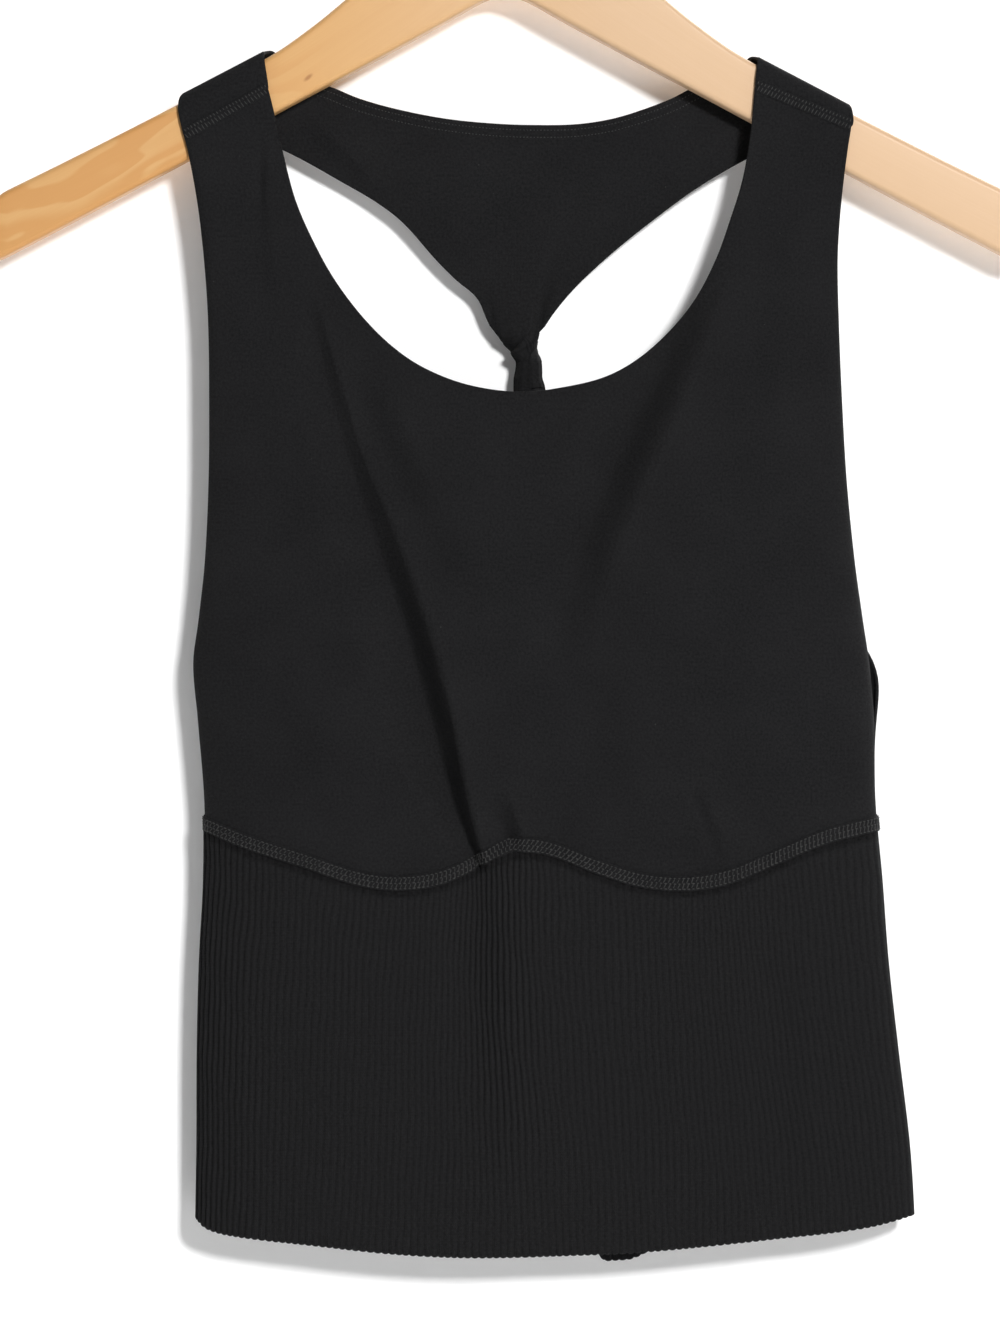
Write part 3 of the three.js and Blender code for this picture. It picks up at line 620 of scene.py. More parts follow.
def crease_profile(off, slow, steep, depth):
    """Height at a distance to the right of the crest: a slow fall, a steep rise, then a soft shoulder.

    A narrow rise ends in a crisp crest and a wide one in a round one.
    """
    crest = CREST_SHARE * depth
    fall = -depth * ease(-steep - slow, -steep, off)
    climb = np.clip(1 + off / steep, 0, 1)
    rise = mix(-depth, crest, mix(ease(0, 1, climb), climb ** 1.4, ease(ROUND, CRISP, steep)))
    shoulder = crest * np.exp(-np.maximum(off, 0) / (1.3 * steep))
    return np.where(off > 0, shoulder, np.where(off < -steep, fall, rise))


def creases_at(tables, x, z):
    total = np.zeros_like(x)
    for rows in tables:
        nearest = np.full_like(x, np.inf)
        height = np.zeros_like(x)
        for i in range(len(rows["x"]) - 1):
            ax, az, bx, bz = rows["x"][i], rows["z"][i], rows["x"][i + 1], rows["z"][i + 1]
            dx, dz = bx - ax, bz - az
            t = np.clip(((x - ax) * dx + (z - az) * dz) / math.hypot(dx, dz) ** 2, 0, 1)
            gap = np.hypot(x - ax - t * dx, z - az - t * dz)
            side = np.sign(dz * (ax - x) - dx * (az - z))
            slow, steep, depth = [mix(rows[k][i], rows[k][i + 1], t) for k in ("slow", "steep", "depth")]
            closer = gap < nearest
            height = np.where(closer, crease_profile(side * gap, slow, steep, depth), height)
            nearest = np.where(closer, gap, nearest)
        total = total + height
    return total


sample = creases_at(FRONT_CREASES, np.array([-35.0, -60.0]), np.array([-383.0, -383.0]))
print("depth in the long crease and beside it", np.round(sample, 2), "mm")

# %% [markdown]
# ## Where the cloth lies
# One function gives the place of the cloth for a share of the half girth and a height. Above the hanger's
# arm the strap is wrapped over it: height turns into length of cloth on a rounded arc, so the strap passes
# over the wood without a kink and comes down behind it.

# %% The body's surface
SECTION_POWER = 3


def half_section(half_width, depth):
    """A quarter of a rounded oval: shares of its width and depth, and the length of line so far."""
    angle = np.linspace(0, np.pi / 2, 3001)
    s = np.sin(angle) ** (2 / SECTION_POWER)
    share = np.maximum(0, np.cos(angle)) ** (2 / SECTION_POWER)
    return s, share, lengths(np.stack([s * half_width, share * depth], axis=1))


body_s, _, body_run = half_section(10, 1)


def across(q):
    """From a share of the half girth to a share of the half width, and girth turns it back."""
    return np.sign(q) * np.interp(np.abs(q) * body_run[-1], body_run, body_s)


def girth(s):
    return np.sign(s) * np.interp(np.abs(s), body_s, body_run) / body_run[-1]


def roundness(s):
    return (1 - np.minimum(1, np.abs(s)) ** SECTION_POWER) ** (1 / SECTION_POWER)


def middle_at(z):
    return (left_at(z) + right_at(z)) / 2


def half_at(z):
    """Half the width, less the cloth's own half thickness below the straps."""
    return (right_at(z) - left_at(z)) / 2 - JERSEY_WALL / 2 * ease(*ARMHOLE_FADE, z)


def x_at(q, z):
    return middle_at(z) + half_at(z) * across(q)


def share_at(x, z):
    return girth((x - middle_at(z)) / half_at(z))


HANGER_THICKNESS = 12
ARM_TOP, ARM_LOW = (98, -145.3), (141, -167.8)
ARM_SLOPE = math.atan2(ARM_TOP[1] - ARM_LOW[1], ARM_LOW[0] - ARM_TOP[0])
STRAP_GAP = 0.8
STRAP_RADIUS = HANGER_THICKNESS / 2 + STRAP_GAP + JERSEY_WALL / 2
STRAP_HEIGHT = STRAP_RADIUS / math.cos(ARM_SLOPE) + 1
strap_s, strap_share, strap_run = half_section(STRAP_RADIUS, STRAP_HEIGHT)
STRAP_ARC = 2 * strap_run[-1]


def arm_top_at(x):
    return ARM_TOP[1] - (np.abs(x) - ARM_TOP[0]) * math.tan(ARM_SLOPE)


def arc_middle_at(x):
    return arm_top_at(x) - HANGER_THICKNESS / 2 / math.cos(ARM_SLOPE)


def over_hanger(x, height, face):
    """A point of a strap, whose height goes on as a length of cloth over the wood."""
    middle = arc_middle_at(x)
    past = height - middle
    down = np.abs(past - STRAP_ARC / 2)
    side = np.where(past > STRAP_ARC / 2, -face, face)
    y = side * STRAP_RADIUS * np.interp(down, strap_run, strap_s)
    z = middle + STRAP_HEIGHT * np.interp(down, strap_run, strap_share)
    z = np.where(past > STRAP_ARC, middle - (past - STRAP_ARC), z)
    return np.stack([x + 0 * z, y, z], axis=-1)


def wrapped(point, x, z, face):
    """A point on the body, or over the hanger where it is above the arm."""
    return np.where((z > arc_middle_at(x))[..., None], over_hanger(x, z, face), point)


PEEP_REACH, PEEP_Z, PEEP_TALL = 3.4, -404, 17
EDGE_STANDS = 0.2
BACK_SEAM_DIP = 6


def undulation(x, z):
    return 0.22 * np.sin(x / 23 + z / 61) * np.sin(z / 37 - x / 83 + 1) + 0.12 * np.sin(x / 11 - z / 29)


def front_relief(x, z):
    swell = [
        depth * np.exp(-((x - cx) / wide) ** 2 - ((z - cz) / tall) ** 2)
        for cx, cz, wide, tall, depth in zip(*CUPS.values())
    ]
    relief = sum(swell) + creases_at(FRONT_CREASES, x, z) + undulation(x, z)
    return relief * ease(*SHOULDER_FADE, z)


def back_relief(x, z):
    pressed = creases_at(BACK_CREASES, x, z) * ease(LOWER_TOP, -318, z)
    return undulation(x, z) * ease(LOWER_TOP, -330, z) - pressed


def side_peep(q, z):
    """How far the back's armhole edge shows past the front's, on the right."""
    return PEEP_REACH * np.exp(-((z - PEEP_Z) / PEEP_TALL) ** 2) * ease(0.82, 1, q) * (z > SIDE_SEAM)


def on_body(q, z, face):
    x = x_at(q, z)
    flat = roundness(across(q))
    if face == FRONT:
        relief, edge, deep = front_relief(x, z), np.maximum(EDGE_STANDS, side_at(z)), front_at(z)
    else:
        relief, edge, deep = back_relief(x, z), EDGE_STANDS, back_at(z)
        x = x + side_peep(q, z)
    depth = mix(edge, deep, flat) + relief * flat
    point = np.stack([x + 0 * depth, face * depth, z + 0 * depth], axis=-1)
    return wrapped(point, x, z, FRONT) if face == FRONT else point


def height_on(line_at, q):
    """The height of a line across the body at a share of the girth."""
    z = line_at(0 * q)
    for _ in range(6):
        z = line_at(x_at(q, z))
    return z


def back_seam_at(q):
    return SIDE_SEAM - BACK_SEAM_DIP * (1 - q * q)


def seam_at(q, face):
    return height_on(front_seam_at, q) if face == FRONT else back_seam_at(q)


print("strap arc over the hanger", round(STRAP_ARC, 1), "mm")

# %% [markdown]
# ## From a surface to a piece of cloth
# A grid of points is only a skin. Cloth has two sides and a soft edge, so each grid becomes a thin closed
# wall: a side in front, a side behind, and half a circle of faces round every free edge. Solidify could do
# it, but here each side can have its own relief, such as a rib outside and a pocket inside.

# %% Grids, walls and meshes
RIM_ANGLES = (45, 90, 135)
RIM_REACH = 0.85


def shares(columns, rows):
    """Shares across and up, from 0 to 1, for every point of a grid."""
    return np.meshgrid(np.linspace(0, 1, columns + 1), np.linspace(0, 1, rows + 1))


def skin(points):
    """The normals of a grid of points, and its quads."""
    normals = np.cross(np.gradient(points, axis=1), np.gradient(points, axis=0))
    normals /= np.linalg.norm(normals, axis=-1, keepdims=True)
    corner = np.arange(points[..., 0].size).reshape(points.shape[:2])
    quads = np.stack([corner[:-1, :-1], corner[:-1, 1:], corner[1:, 1:], corner[1:, :-1]], axis=-1)
    return normals, quads.reshape(-1, 4)


def wall(points, normals, quads, near, behind, uv):
    """A closed wall, near and behind being how far each side stands from the middle surface."""
    points, normals, uv = points.reshape(-1, 3), normals.reshape(-1, 3), uv.reshape(-1, 2)
    count = len(points)
    near, behind = [np.zeros(count) + np.ravel(reach) for reach in (near, behind)]
    edges = np.vstack([quads[:, [k, (k + 1) % 4]] for k in range(4)])
    edges = edges[~np.isin(edges[:, 0] * count + edges[:, 1], edges[:, 1] * count + edges[:, 0])]
    outward = np.zeros_like(points)
    aside = np.cross(points[edges[:, 1]] - points[edges[:, 0]], normals[edges[:, 0]])
    for end in (0, 1):
        np.add.at(outward, edges[:, end], aside)
    rim = np.unique(edges)
    outward = outward[rim] / np.linalg.norm(outward[rim], axis=1, keepdims=True)
    half = ((near + behind) / 2)[rim, None]
    middle = points[rim] + normals[rim] * ((near - behind) / 2)[rim, None]
    layers = [points + normals * near[:, None], points - normals * behind[:, None]]
    place = np.zeros(count, int)
    place[rim] = np.arange(len(rim))
    rings = [edges]
    for k, angle in enumerate(RIM_ANGLES):
        turn = math.radians(angle)
        layers.append(middle + half * (normals[rim] * math.cos(turn) + outward * RIM_REACH * math.sin(turn)))
        rings.append(2 * count + k * len(rim) + place[edges])
    rings.append(edges + count)
    faces = [quads, quads[:, ::-1] + count]
    for first, second in zip(rings, rings[1:]):
        faces.append(np.stack([first[:, 0], second[:, 0], second[:, 1], first[:, 1]], axis=1))
    return np.vstack(layers), np.vstack(faces), np.vstack([uv, uv, *[uv[rim]] * len(RIM_ANGLES)])


def linked(name, data):
    made = bpy.data.objects.new(name, data)
    bpy.context.scene.collection.objects.link(made)
    return made


def attribute(mesh, name, values):
    kind, field = ("FLOAT", "value") if values.ndim == 1 else ("FLOAT_VECTOR", "vector")
    made = mesh.attributes.new(name, kind, "POINT")
    made.data.foreach_set(field, values.astype(np.float32).ravel())


def piece(name, finish, points, faces, uv=None, **attributes):
    mesh = bpy.data.meshes.new(name)
    mesh.from_pydata((points * MM).tolist(), [], faces if isinstance(faces, list) else faces.tolist())
    mesh.polygons.foreach_set("use_smooth", np.ones(len(mesh.polygons), bool))
    if uv is not None:
        corners = np.empty(len(mesh.loops), np.int32)
        mesh.loops.foreach_get("vertex_index", corners)
        mesh.uv_layers.new(name="cloth").data.foreach_set("uv", uv[corners].astype(np.float32).ravel())
    for label, values in attributes.items():
        attribute(mesh, label, values)
    mesh.materials.append(finish)
    mesh.update()
    return linked(name, mesh)


def square_metres(points, quads):
    a, b, c, d = [points.reshape(-1, 3)[quads[:, k]] for k in range(4)]
    return round(float(np.linalg.norm(np.cross(c - a, d - b), axis=1).sum() / 2) * 1e-6, 4)


def settle(made, node=None):
    """Fix a piece to the top's only body, and in place of its solid where it has one."""
    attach(made, "root")
    if node:
        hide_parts(node)
    triangles = sum(len(face.vertices) - 2 for face in made.data.polygons)
    low, high = np.array(made.bound_box).min(0), np.array(made.bound_box).max(0)
    print(made.name, triangles, "triangles", np.round(low * 1000, 1), np.round(high * 1000, 1), "mm")


print("walls of cloth are ready")

# %% [markdown]
# ## The front bodice
# One piece of jersey with a scooped neck. Its columns run from the underbust seam up to the shoulder seams
# and the neckline, as the knit does, so the grid bends where the cloth is cut.

# %% Front bodice
FRONT_NECK = places("""
-96.5 -170, -93.2 -184.8, -87.8 -205.5, -80.7 -222.1, -71.6 -238.7, -59.1 -255.3, -46.3 -267.8,
-33.8 -276.1, -16 -283, 6 -286, 25 -283.9, 42 -279.5, 56 -271.4, 69.5 -259.2, 79.5 -246.4, 87.8 -230.4,
93.8 -213.8, 98.9 -197.2, 102.4 -176.5""")
SHOULDER_SEAMS = {"left": (-133.2, 14.8, -99, 13.6), "right": (143.6, 5.4, 104.1, 9.6)}
JERSEY_HALF = 0.75
STRAP_COLUMNS, NECK_COLUMNS, FRONT_ROWS = 36, 204, 118
HALF_GIRTH = 150


def seam_line(side, t, face):
    """A shoulder seam as heights along the cloth, from its outer end at 0 to its inner end at 1."""
    outer, outer_drop, inner, inner_drop = SHOULDER_SEAMS[side]
    x = mix(outer, inner, t)
    height = arm_top_at(x) - mix(outer_drop, inner_drop, t)
    z = height if face == FRONT else 2 * arc_middle_at(x) + STRAP_ARC - height
    return np.stack([x, z - SEAM_GAP / 2], axis=-1)


def front_edge():
    share = np.linspace(0, 1, STRAP_COLUMNS + 1)
    left, right = seam_line("left", share, FRONT), seam_line("right", share[::-1], FRONT)
    line = along([left[-1], *FRONT_NECK, right[0]], NECK_COLUMNS)
    edge = np.vstack([left, line[1:-1], right])
    q = share_at(edge[:, 0], edge[:, 1])
    q[0], q[-1] = -1, 1
    return np.stack([q, edge[:, 1]], axis=1)


def above_seam(edge, u, v, face):
    """Shares of the girth and heights, from the underbust seam up to a cut edge."""
    q, (end_q, end_z) = mix(-1, 1, u), between(edge, u)
    return mix(q, end_q, v), mix(seam_at(q, face) + SEAM_GAP / 2, end_z, v)


def front_bodice():
    top = front_edge()
    q, z = above_seam(top, *shares(len(top) - 1, FRONT_ROWS), FRONT)
    points = on_body(q, z, FRONT)
    normals, quads = skin(points)
    uv = np.stack([q * HALF_GIRTH, z], axis=-1)
    print("front bodice", square_metres(points, quads), "square metres")
    return piece("front_bodice_cloth", jersey, *wall(points, normals, quads, JERSEY_HALF, JERSEY_HALF, uv))


front = front_bodice()
settle(front, "front_bodice")

# %% [markdown]
# ## The back bodice
# The back is cut in one and twisted once: a yoke hangs from both straps, narrows to a strip that turns
# round itself, and opens out again into the lower back. Each cut edge is a smooth line through a few
# measured points. On the straps it starts at the shoulder seam, and two of its points lie over the hanger.

# %% Cut edges of the back
BACK_NECK = places("""
-94 -153.5, -86 -156.2, -75.6 -156.7, -61.3 -162.2, -46.6 -166.4, -25.3 -170.6, -4.4 -172.7, 12.3 -173.3,
30.2 -172.9, 45 -170.6, 58.8 -166.4, 69.6 -162.2, 79.6 -157.4, 89 -156.4, 98 -154.5""")
ARMHOLE_LEFT = places("""
-128 -169.7, -112.8 -174.8, -91.8 -183.1, -68.8 -195.6, -53.3 -204.7, -42.8 -212.8, -28.2 -229.1,
-19.8 -237.4, -13.4 -242.5, -10.4 -246.2, -7.6 -253""")
ARMHOLE_RIGHT = places("""
135 -172.5, 119.9 -177.8, 101.4 -186, 79.2 -199, 62.5 -211.2, 45.8 -224.5, 29 -240, 20.2 -250.4""")
LOWER_ARMHOLE = places("""
1 -421, 0.985 -401, 0.93 -382, 0.81 -362, 0.64 -344, 0.46 -329, 0.28 -316, 0.14 -306""")
LOWER_HALF = 120
STRAP_EDGES = {
    "left outer": [(-135.3, 0.78), (-132.7, 0.5)], "left inner": [(-100.4, 0.52), (-96, 0.25)],
    "right outer": [(143.9, 0.85), (141.8, 0.5)], "right inner": [(104.9, 0.52), (101.2, 0.27)],
}
TWIST_X, TWIST_TOP, TWIST_BOTTOM = 9.3, -259, -295
HEAD, FOOT = (-3, 19.8), (-4.7, 14.4)
STRAP_STEPS, ARM_STEPS, STRIP_STEPS = 64, 52, 24
EDGE_STEPS = 2 * ARM_STEPS + STRIP_STEPS


def yoke_edge(side, seam_end, rows, count):
    """An edge from the shoulder seam, over the hanger at shares of the arc, and down the yoke."""
    turns = [(x, arc_middle_at(x) + share * STRAP_ARC) for x, share in STRAP_EDGES[side]]
    seam = seam_line(side.split()[0], np.array(seam_end), BACK)
    return np.vstack([along([seam, *turns, rows[0]], STRAP_STEPS)[:-1], along(rows, count)])


def yoke_rows():
    low_left = yoke_edge("left outer", 0.0, [*ARMHOLE_LEFT, (FOOT[0], TWIST_TOP)], ARM_STEPS)
    low_right = yoke_edge("right outer", 0.0, [*ARMHOLE_RIGHT, (FOOT[1], TWIST_TOP)], ARM_STEPS)
    high_left = yoke_edge("left inner", 1.0, BACK_NECK, EDGE_STEPS)
    high_right = yoke_edge("right inner", 1.0, BACK_NECK[::-1], EDGE_STEPS)
    foot_x = np.linspace(*FOOT, STRIP_STEPS + 1)[1:-1]
    feet = np.stack([foot_x, np.full_like(foot_x, TWIST_TOP)], axis=1)
    low = np.vstack([low_left, feet, low_right[::-1]])
    return low, np.vstack([high_left, high_right[:STRAP_STEPS][::-1]])


def lower_rows():
    head_x = np.linspace(*HEAD, STRIP_STEPS + 1)
    head_z = np.full_like(head_x, TWIST_BOTTOM)
    head = np.stack([share_at(head_x, head_z), head_z], axis=1)

    def armhole(side, end):
        rows = [(share * LOWER_HALF, z) for share, z in LOWER_ARMHOLE]
        line = along([*rows, (side * end[0] * LOWER_HALF, end[1])], ARM_STEPS)
        return np.stack([side * line[:, 0] / LOWER_HALF, line[:, 1]], axis=1)

    return np.vstack([armhole(-1, head[0]), head[1:-1], armhole(1, head[-1])[::-1]])


yoke_low, yoke_high = yoke_rows()
lower_top = lower_rows()
YOKE_STEPS = len(yoke_low) - 1
print("the back's edges:", len(yoke_low), len(yoke_high), len(lower_top), "points")

# %% [markdown]
# ## The yoke, the twist and the lower back
# Each part of the back is a grid between two edges. The twist turns the strip half round and half round
# again about its own middle line, and the strip is thick there, because the whole width of the cloth is
# gathered in it.

# %% Three surfaces
TWIST_HALF, TWIST_CORE = 5.6, 10.5
FIRST_TURN, SECOND_TURN = (TWIST_TOP, -272), (-283, -293)
YOKE_CREASE_SHARE = 0.8


def on_twist(x, z):
    angle = -math.pi * (ease(*FIRST_TURN, z) + ease(*SECOND_TURN, z))
    off = x - TWIST_X
    y = back_at(z) - creases_at(YOKE_CREASES, x, z) * YOKE_CREASE_SHARE
    return np.stack([TWIST_X + off * np.cos(angle), y + off * np.sin(angle), z + 0 * off], axis=-1)


def gathered(u, z):
    """Half the thickness of the cloth, at a share of the strip's width and a height."""
    near = ease(TWIST_TOP + 20, TWIST_TOP - 8, z) * ease(TWIST_BOTTOM - 20, TWIST_BOTTOM + 8, z)
    bulge = np.sqrt(np.maximum(0, 1 - (2 * u - 1) ** 2))
    gathers = 1 + 0.05 * np.cos(u * 16) * near
    return mix(2 * JERSEY_HALF, TWIST_CORE, bulge * near) * gathers / 2


def yoke_surface(u, v):
    (low_x, low_z), (high_x, high_z) = between(yoke_low, u), between(yoke_high, u)
    x, z = mix(low_x, high_x, v), mix(low_z, high_z, v)
    return wrapped(on_twist(x, z), x, z, BACK)


def twist_surface(u, v):
    pinch = ease(0, 0.2, v) * ease(1, 0.7, v)
    left = mix(mix(HEAD[0], FOOT[0], v), TWIST_X - TWIST_HALF, pinch)
    right = mix(mix(HEAD[1], FOOT[1], v), TWIST_X + TWIST_HALF, pinch)
    return on_twist(mix(left, right, u), mix(TWIST_BOTTOM, TWIST_TOP, v))


def lower_surface(u, v):
    return on_body(*above_seam(lower_top, u, v, BACK), BACK)


print("thickest place of the twist", round(float(2 * gathered(0.5, -277)), 1), "mm")

# %% [markdown]
# ## The back as one piece
# The three grids share the points where they meet, so they merge into one cloth. The twist's outline is
# what the eye follows, so the strip is then stretched, height by height, to a table of its two edges, and
# a last crease presses in the fold that runs from the twist up into the yoke.

# %% Back bodice
YOKE_ROWS, TWIST_ROWS, LOWER_ROWS = 64, 64, 84
YOKE_TOP, LOWER_BOTTOM = -175, -455
SAME_POINT = 0.06
STRIP_EDGES = table("z left right", """
-295 -3.7 20.5
-290 2.2 18
-285.5 3.2 17.1
-281.3 3.3 16.4
-278.4 3.4 15.5
-274.7 4.1 15.4
-271.6 4.2 15.2
-270.2 3.2 14.9
-266.5 0.5 13.5
-262.5 -2.4 13.8
-259 -4.7 14.4""")
FOLD = creases("""
4.2 -271.5 3 1.5 0
5.6 -267.5 3.4 1.6 2.4
7.6 -263 3.6 1.8 3
10.2 -259.6 3 2 2.2
11.6 -252 3.4 2.2 1.5
13.4 -240 4 3 0""")
STRIP_REACH, LEVELS, LEVEL_HALF = 24, 49, 0.7
IN_FRONT_OF_WALL = 17.8


def fitted(points):
    """Stretch the strip, height by height, to the outline that shows, and press its fold in."""
    x, y, z = points.T
    strip = (z > TWIST_BOTTOM) & (z < TWIST_TOP) & (np.abs(x - TWIST_X) < STRIP_REACH)
    levels = np.linspace(TWIST_BOTTOM, TWIST_TOP, LEVELS)
    rows = [x[strip & (np.abs(z - level) < LEVEL_HALF)] for level in levels]
    low = np.interp(z, levels, [row.min() for row in rows])
    high = np.interp(z, levels, [row.max() for row in rows])
    left, right = [through(STRIP_EDGES, "z", side)(z) for side in ("left", "right")]
    x = np.where(strip, mix(left, right, (x - low) / (high - low)), x)
    y = y - np.where(z > TWIST_BOTTOM, creases_at(FOLD, x, z), 0)
    return np.stack([x, np.minimum(y, IN_FRONT_OF_WALL), z], axis=-1)


def joined(first, *others):
    """One grid from several, whose shared points are merged."""
    points, normals, extra, quads = first
    for part in others:
        tree = kdtree.KDTree(len(points))
        for i, point in enumerate(points):
            tree.insert(point, i)
        tree.balance()
        near = [tree.find(point) for point in part[0]]
        index = np.array([found[1] for found in near])
        fresh = np.array([found[2] >= SAME_POINT for found in near])
        index[fresh] = len(points) + np.arange(fresh.sum())
        quads = np.vstack([quads, index[part[3]]])
        points, normals, extra = [
            np.vstack([kept, added[fresh]]) for kept, added in zip((points, normals, extra), part)
        ]
    return points, normals, extra, quads


def back_bodice():
    parts = []
    for count, rows, surface, first, low, high in (
        (YOKE_STEPS, YOKE_ROWS, yoke_surface, STRAP_STEPS + ARM_STEPS, TWIST_TOP, YOKE_TOP),
        (STRIP_STEPS, TWIST_ROWS, twist_surface, 0, TWIST_BOTTOM, TWIST_TOP),
        (EDGE_STEPS, LOWER_ROWS, lower_surface, ARM_STEPS, LOWER_BOTTOM, TWIST_BOTTOM),
    ):
        u, v = shares(count, rows)
        points = surface(u, v)
        normals, quads = skin(points)
        thick = gathered(np.clip((u * count - first) / STRIP_STEPS, 0, 1), mix(low, high, v))
        extra = np.stack([thick, points[..., 0], points[..., 2]], axis=-1)
        parts.append([*(part.reshape(-1, 3) for part in (points, normals, extra)), quads])
    points, normals, extra, quads = joined(*parts)
    made_points, faces, made_uv = wall(points, normals, quads, extra[:, 0], extra[:, 0], extra[:, 1:])
    print("back bodice", square_metres(points, quads), "square metres")
    return piece("back_bodice_cloth", jersey, fitted(made_points), faces, made_uv)


back = back_bodice()
settle(back, "back_bodice")

# %% [markdown]
# ## The rib waist
# Two panels of rib knit, front and back. Each has 109 ridges that flow from the underbust seam to the hem
# and lie closer together under the peak of the seam. A ridge is a rounded bump on both sides of the cloth,
# because a rib knit is the same inside and out, and the hem is scalloped by it.

# %% Rib panels
RIB_COUNT, RIB_STEPS, RIB_ROWS = 109, 8, 34
RIB_HALF = 0.5
RIB_CROWD, RIB_CROWD_SPAN = 0.028, 0.06
RIDGE, POCKET, SCALLOP = 0.9, 0.3, 0.45
BAND_SHADOW = (0.86, 0.885)
MEAN_CREST, RIM_CREST = 0.72, 0.7
HEM_PEEP = 5.4
flow_at = through(table("hem seam", "-1 -1\n-0.42 -0.37\n0 -0.02\n0.32 0.33\n0.73 0.69\n1 1"), "hem", "seam")


def hem_height(q, face):
    z = height_on(hem_at, q)
    x = x_at(q, z)
    return z if face == FRONT else z - HEM_PEEP * ease(37, 42, x) * ease(68, 50, x)


def rib_share(u):
    """Where a rib lies on the panel: they crowd a little at the first side."""
    crowded, all_of_it = [1 - np.exp(-at / RIB_CROWD_SPAN) for at in (u, 1)]
    return (u - RIB_CROWD * crowded) / (1 - RIB_CROWD * all_of_it)


def up_rib(v):
    """Height on the panel for a row of the grid: the rows crowd together below the seam."""
    return 1 - (1 - v) ** 1.8


def rib_opening(q, up):
    """How far the ribs stand open: most at the left side and under the peak of the seam."""
    side = np.exp(-((q + 1) / 0.17) ** 2)
    peak = np.exp(-((q + 0.13) / 0.1) ** 2) * ease(0.0, 0.6, up)
    return np.clip(0.47 + 0.75 * side + 0.75 * peak, 0, 1.25)


def rib_panel(name, face):
    u, v = shares(RIB_COUNT * RIB_STEPS, RIB_ROWS)
    at_hem, up = face * mix(1, -1, rib_share(u)), up_rib(v)
    at_seam = flow_at(at_hem) if face == FRONT else at_hem
    q = mix(at_hem, at_seam, up)
    z = mix(hem_height(at_hem, face), seam_at(at_seam, face) - SEAM_GAP / 2, up)
    points = on_body(q, z, face)
    normals, quads = skin(points)
    wobble = 0.11 * np.sin(z / 9 + 40 * u) + 0.08 * np.sin(z / 3.7 + 95 * u)
    wave = u * RIB_COUNT + wobble * ease(0, 0.02, u) * ease(1, 0.98, u)
    crest = np.abs(np.sin(np.pi * wave)) ** 0.7
    opening = rib_opening(q, up)
    points[..., 2] -= SCALLOP * crest * ease(0.012, 0, v)
    near, behind = RIB_HALF - 0.1 + RIDGE * crest * opening, RIB_HALF + POCKET * crest
    uv = np.stack([q * HALF_GIRTH, z], axis=-1)
    made_points, faces, made_uv = wall(points, normals, quads, near, behind, uv)
    # Painted shadow: the rib's colour is darker in a thin line just under the seam band.
    shade = 1 - 0.75 * ease(*BAND_SHADOW, v)
    # The crest attribute is painted shade: the grooves are darker, more so where the ribs stand open.
    shown = ((MEAN_CREST + (crest - MEAN_CREST) * opening) * shade).ravel()
    ridge = np.concatenate([shown, shown, np.full(len(made_points) - 2 * shown.size, RIM_CREST)])
    print(name, square_metres(points, quads), "square metres")
    return piece(name, rib_knit, made_points, faces, made_uv, crest=ridge)


front_rib, back_rib = rib_panel("front_rib_cloth", FRONT), rib_panel("back_rib_cloth", BACK)
settle(front_rib, "front_rib")
settle(back_rib, "back_rib")

# %% [markdown]
# ## Stitches with Geometry Nodes
# A row of stitches is one small shape repeated along a line, which is what Geometry Nodes are best at. The
# tree takes a line with a facing direction, spaces points along it, puts a grain of thread on each, turns
# it along the line and by a slant, and makes it all real mesh at the end.

# %% The stitch tree
def stitch_tree():
    tree = bpy.data.node_groups.new("stitch_row", "GeometryNodeTree")
    floats = [("INPUT", "Float", name) for name in ("Pitch", "Length", "Width", "Slant")]
    ends = [("INPUT", "Material", "Thread"), ("OUTPUT", "Geometry", "Stitches")]
    for way, kind, name in [("INPUT", "Geometry", "Line"), *floats, *ends]:
        tree.interface.new_socket(name, in_out=way, socket_type=f"NodeSocket{kind}")
    nodes = Nodes(tree)
    node = nodes.node

    def uneven(low, high, seed):
        sockets = {"Min": low, "Max": high, "Seed": seed}
        return node("FunctionNodeRandomValue", {"data_type": "FLOAT"}, sockets, output="Value")

    given = {socket.name: Value(nodes, socket) for socket in node("NodeGroupInput").link.node.outputs}
    curve = node("GeometryNodeMeshToCurve", {}, {0: given["Line"]})
    spaced = node("GeometryNodeResampleCurve", {"mode": "LENGTH"},
                  {"Curve": curve, "Length": given["Pitch"]})
    facing = node("GeometryNodeInputNamedAttribute", {"data_type": "FLOAT_VECTOR"}, {"Name": "facing"})
    up = node("FunctionNodeAlignRotationToVector", {"axis": "Z"}, {"Vector": facing})
    ahead = node("FunctionNodeAlignRotationToVector", {"axis": "X", "pivot_axis": "Z"},
                 {"Rotation": up, "Vector": node("GeometryNodeInputTangent")})
    slant = node("ShaderNodeCombineXYZ", {}, {"Z": given["Slant"] + uneven(-0.12, 0.12, 7)})
    turned = node("FunctionNodeRotateRotation", {"rotation_space": "LOCAL"},
                  {"Rotation": ahead, "Rotate By": slant})
    grain = node("GeometryNodeMeshUVSphere", {}, {"Segments": 8, "Rings": 5, "Radius": 0.5})
    sides = {"X": given["Length"], "Y": given["Width"], "Z": given["Width"]}
    shaped = node("GeometryNodeTransform", {},
                  {"Geometry": grain, "Scale": node("ShaderNodeCombineXYZ", {}, sides)})
    placed = node("GeometryNodeInstanceOnPoints", {}, {
        "Points": spaced, "Instance": shaped, "Rotation": turned, "Scale": uneven(0.72, 1.12, 11),
    })
    real = node("GeometryNodeRealizeInstances", {}, {0: placed})
    smooth = node("GeometryNodeSetShadeSmooth", {}, {0: real})
    finished = node("GeometryNodeSetMaterial", {}, {"Geometry": smooth, "Material": given["Thread"]})
    node("NodeGroupOutput", {}, {0: finished})
    return tree


stitches = stitch_tree()


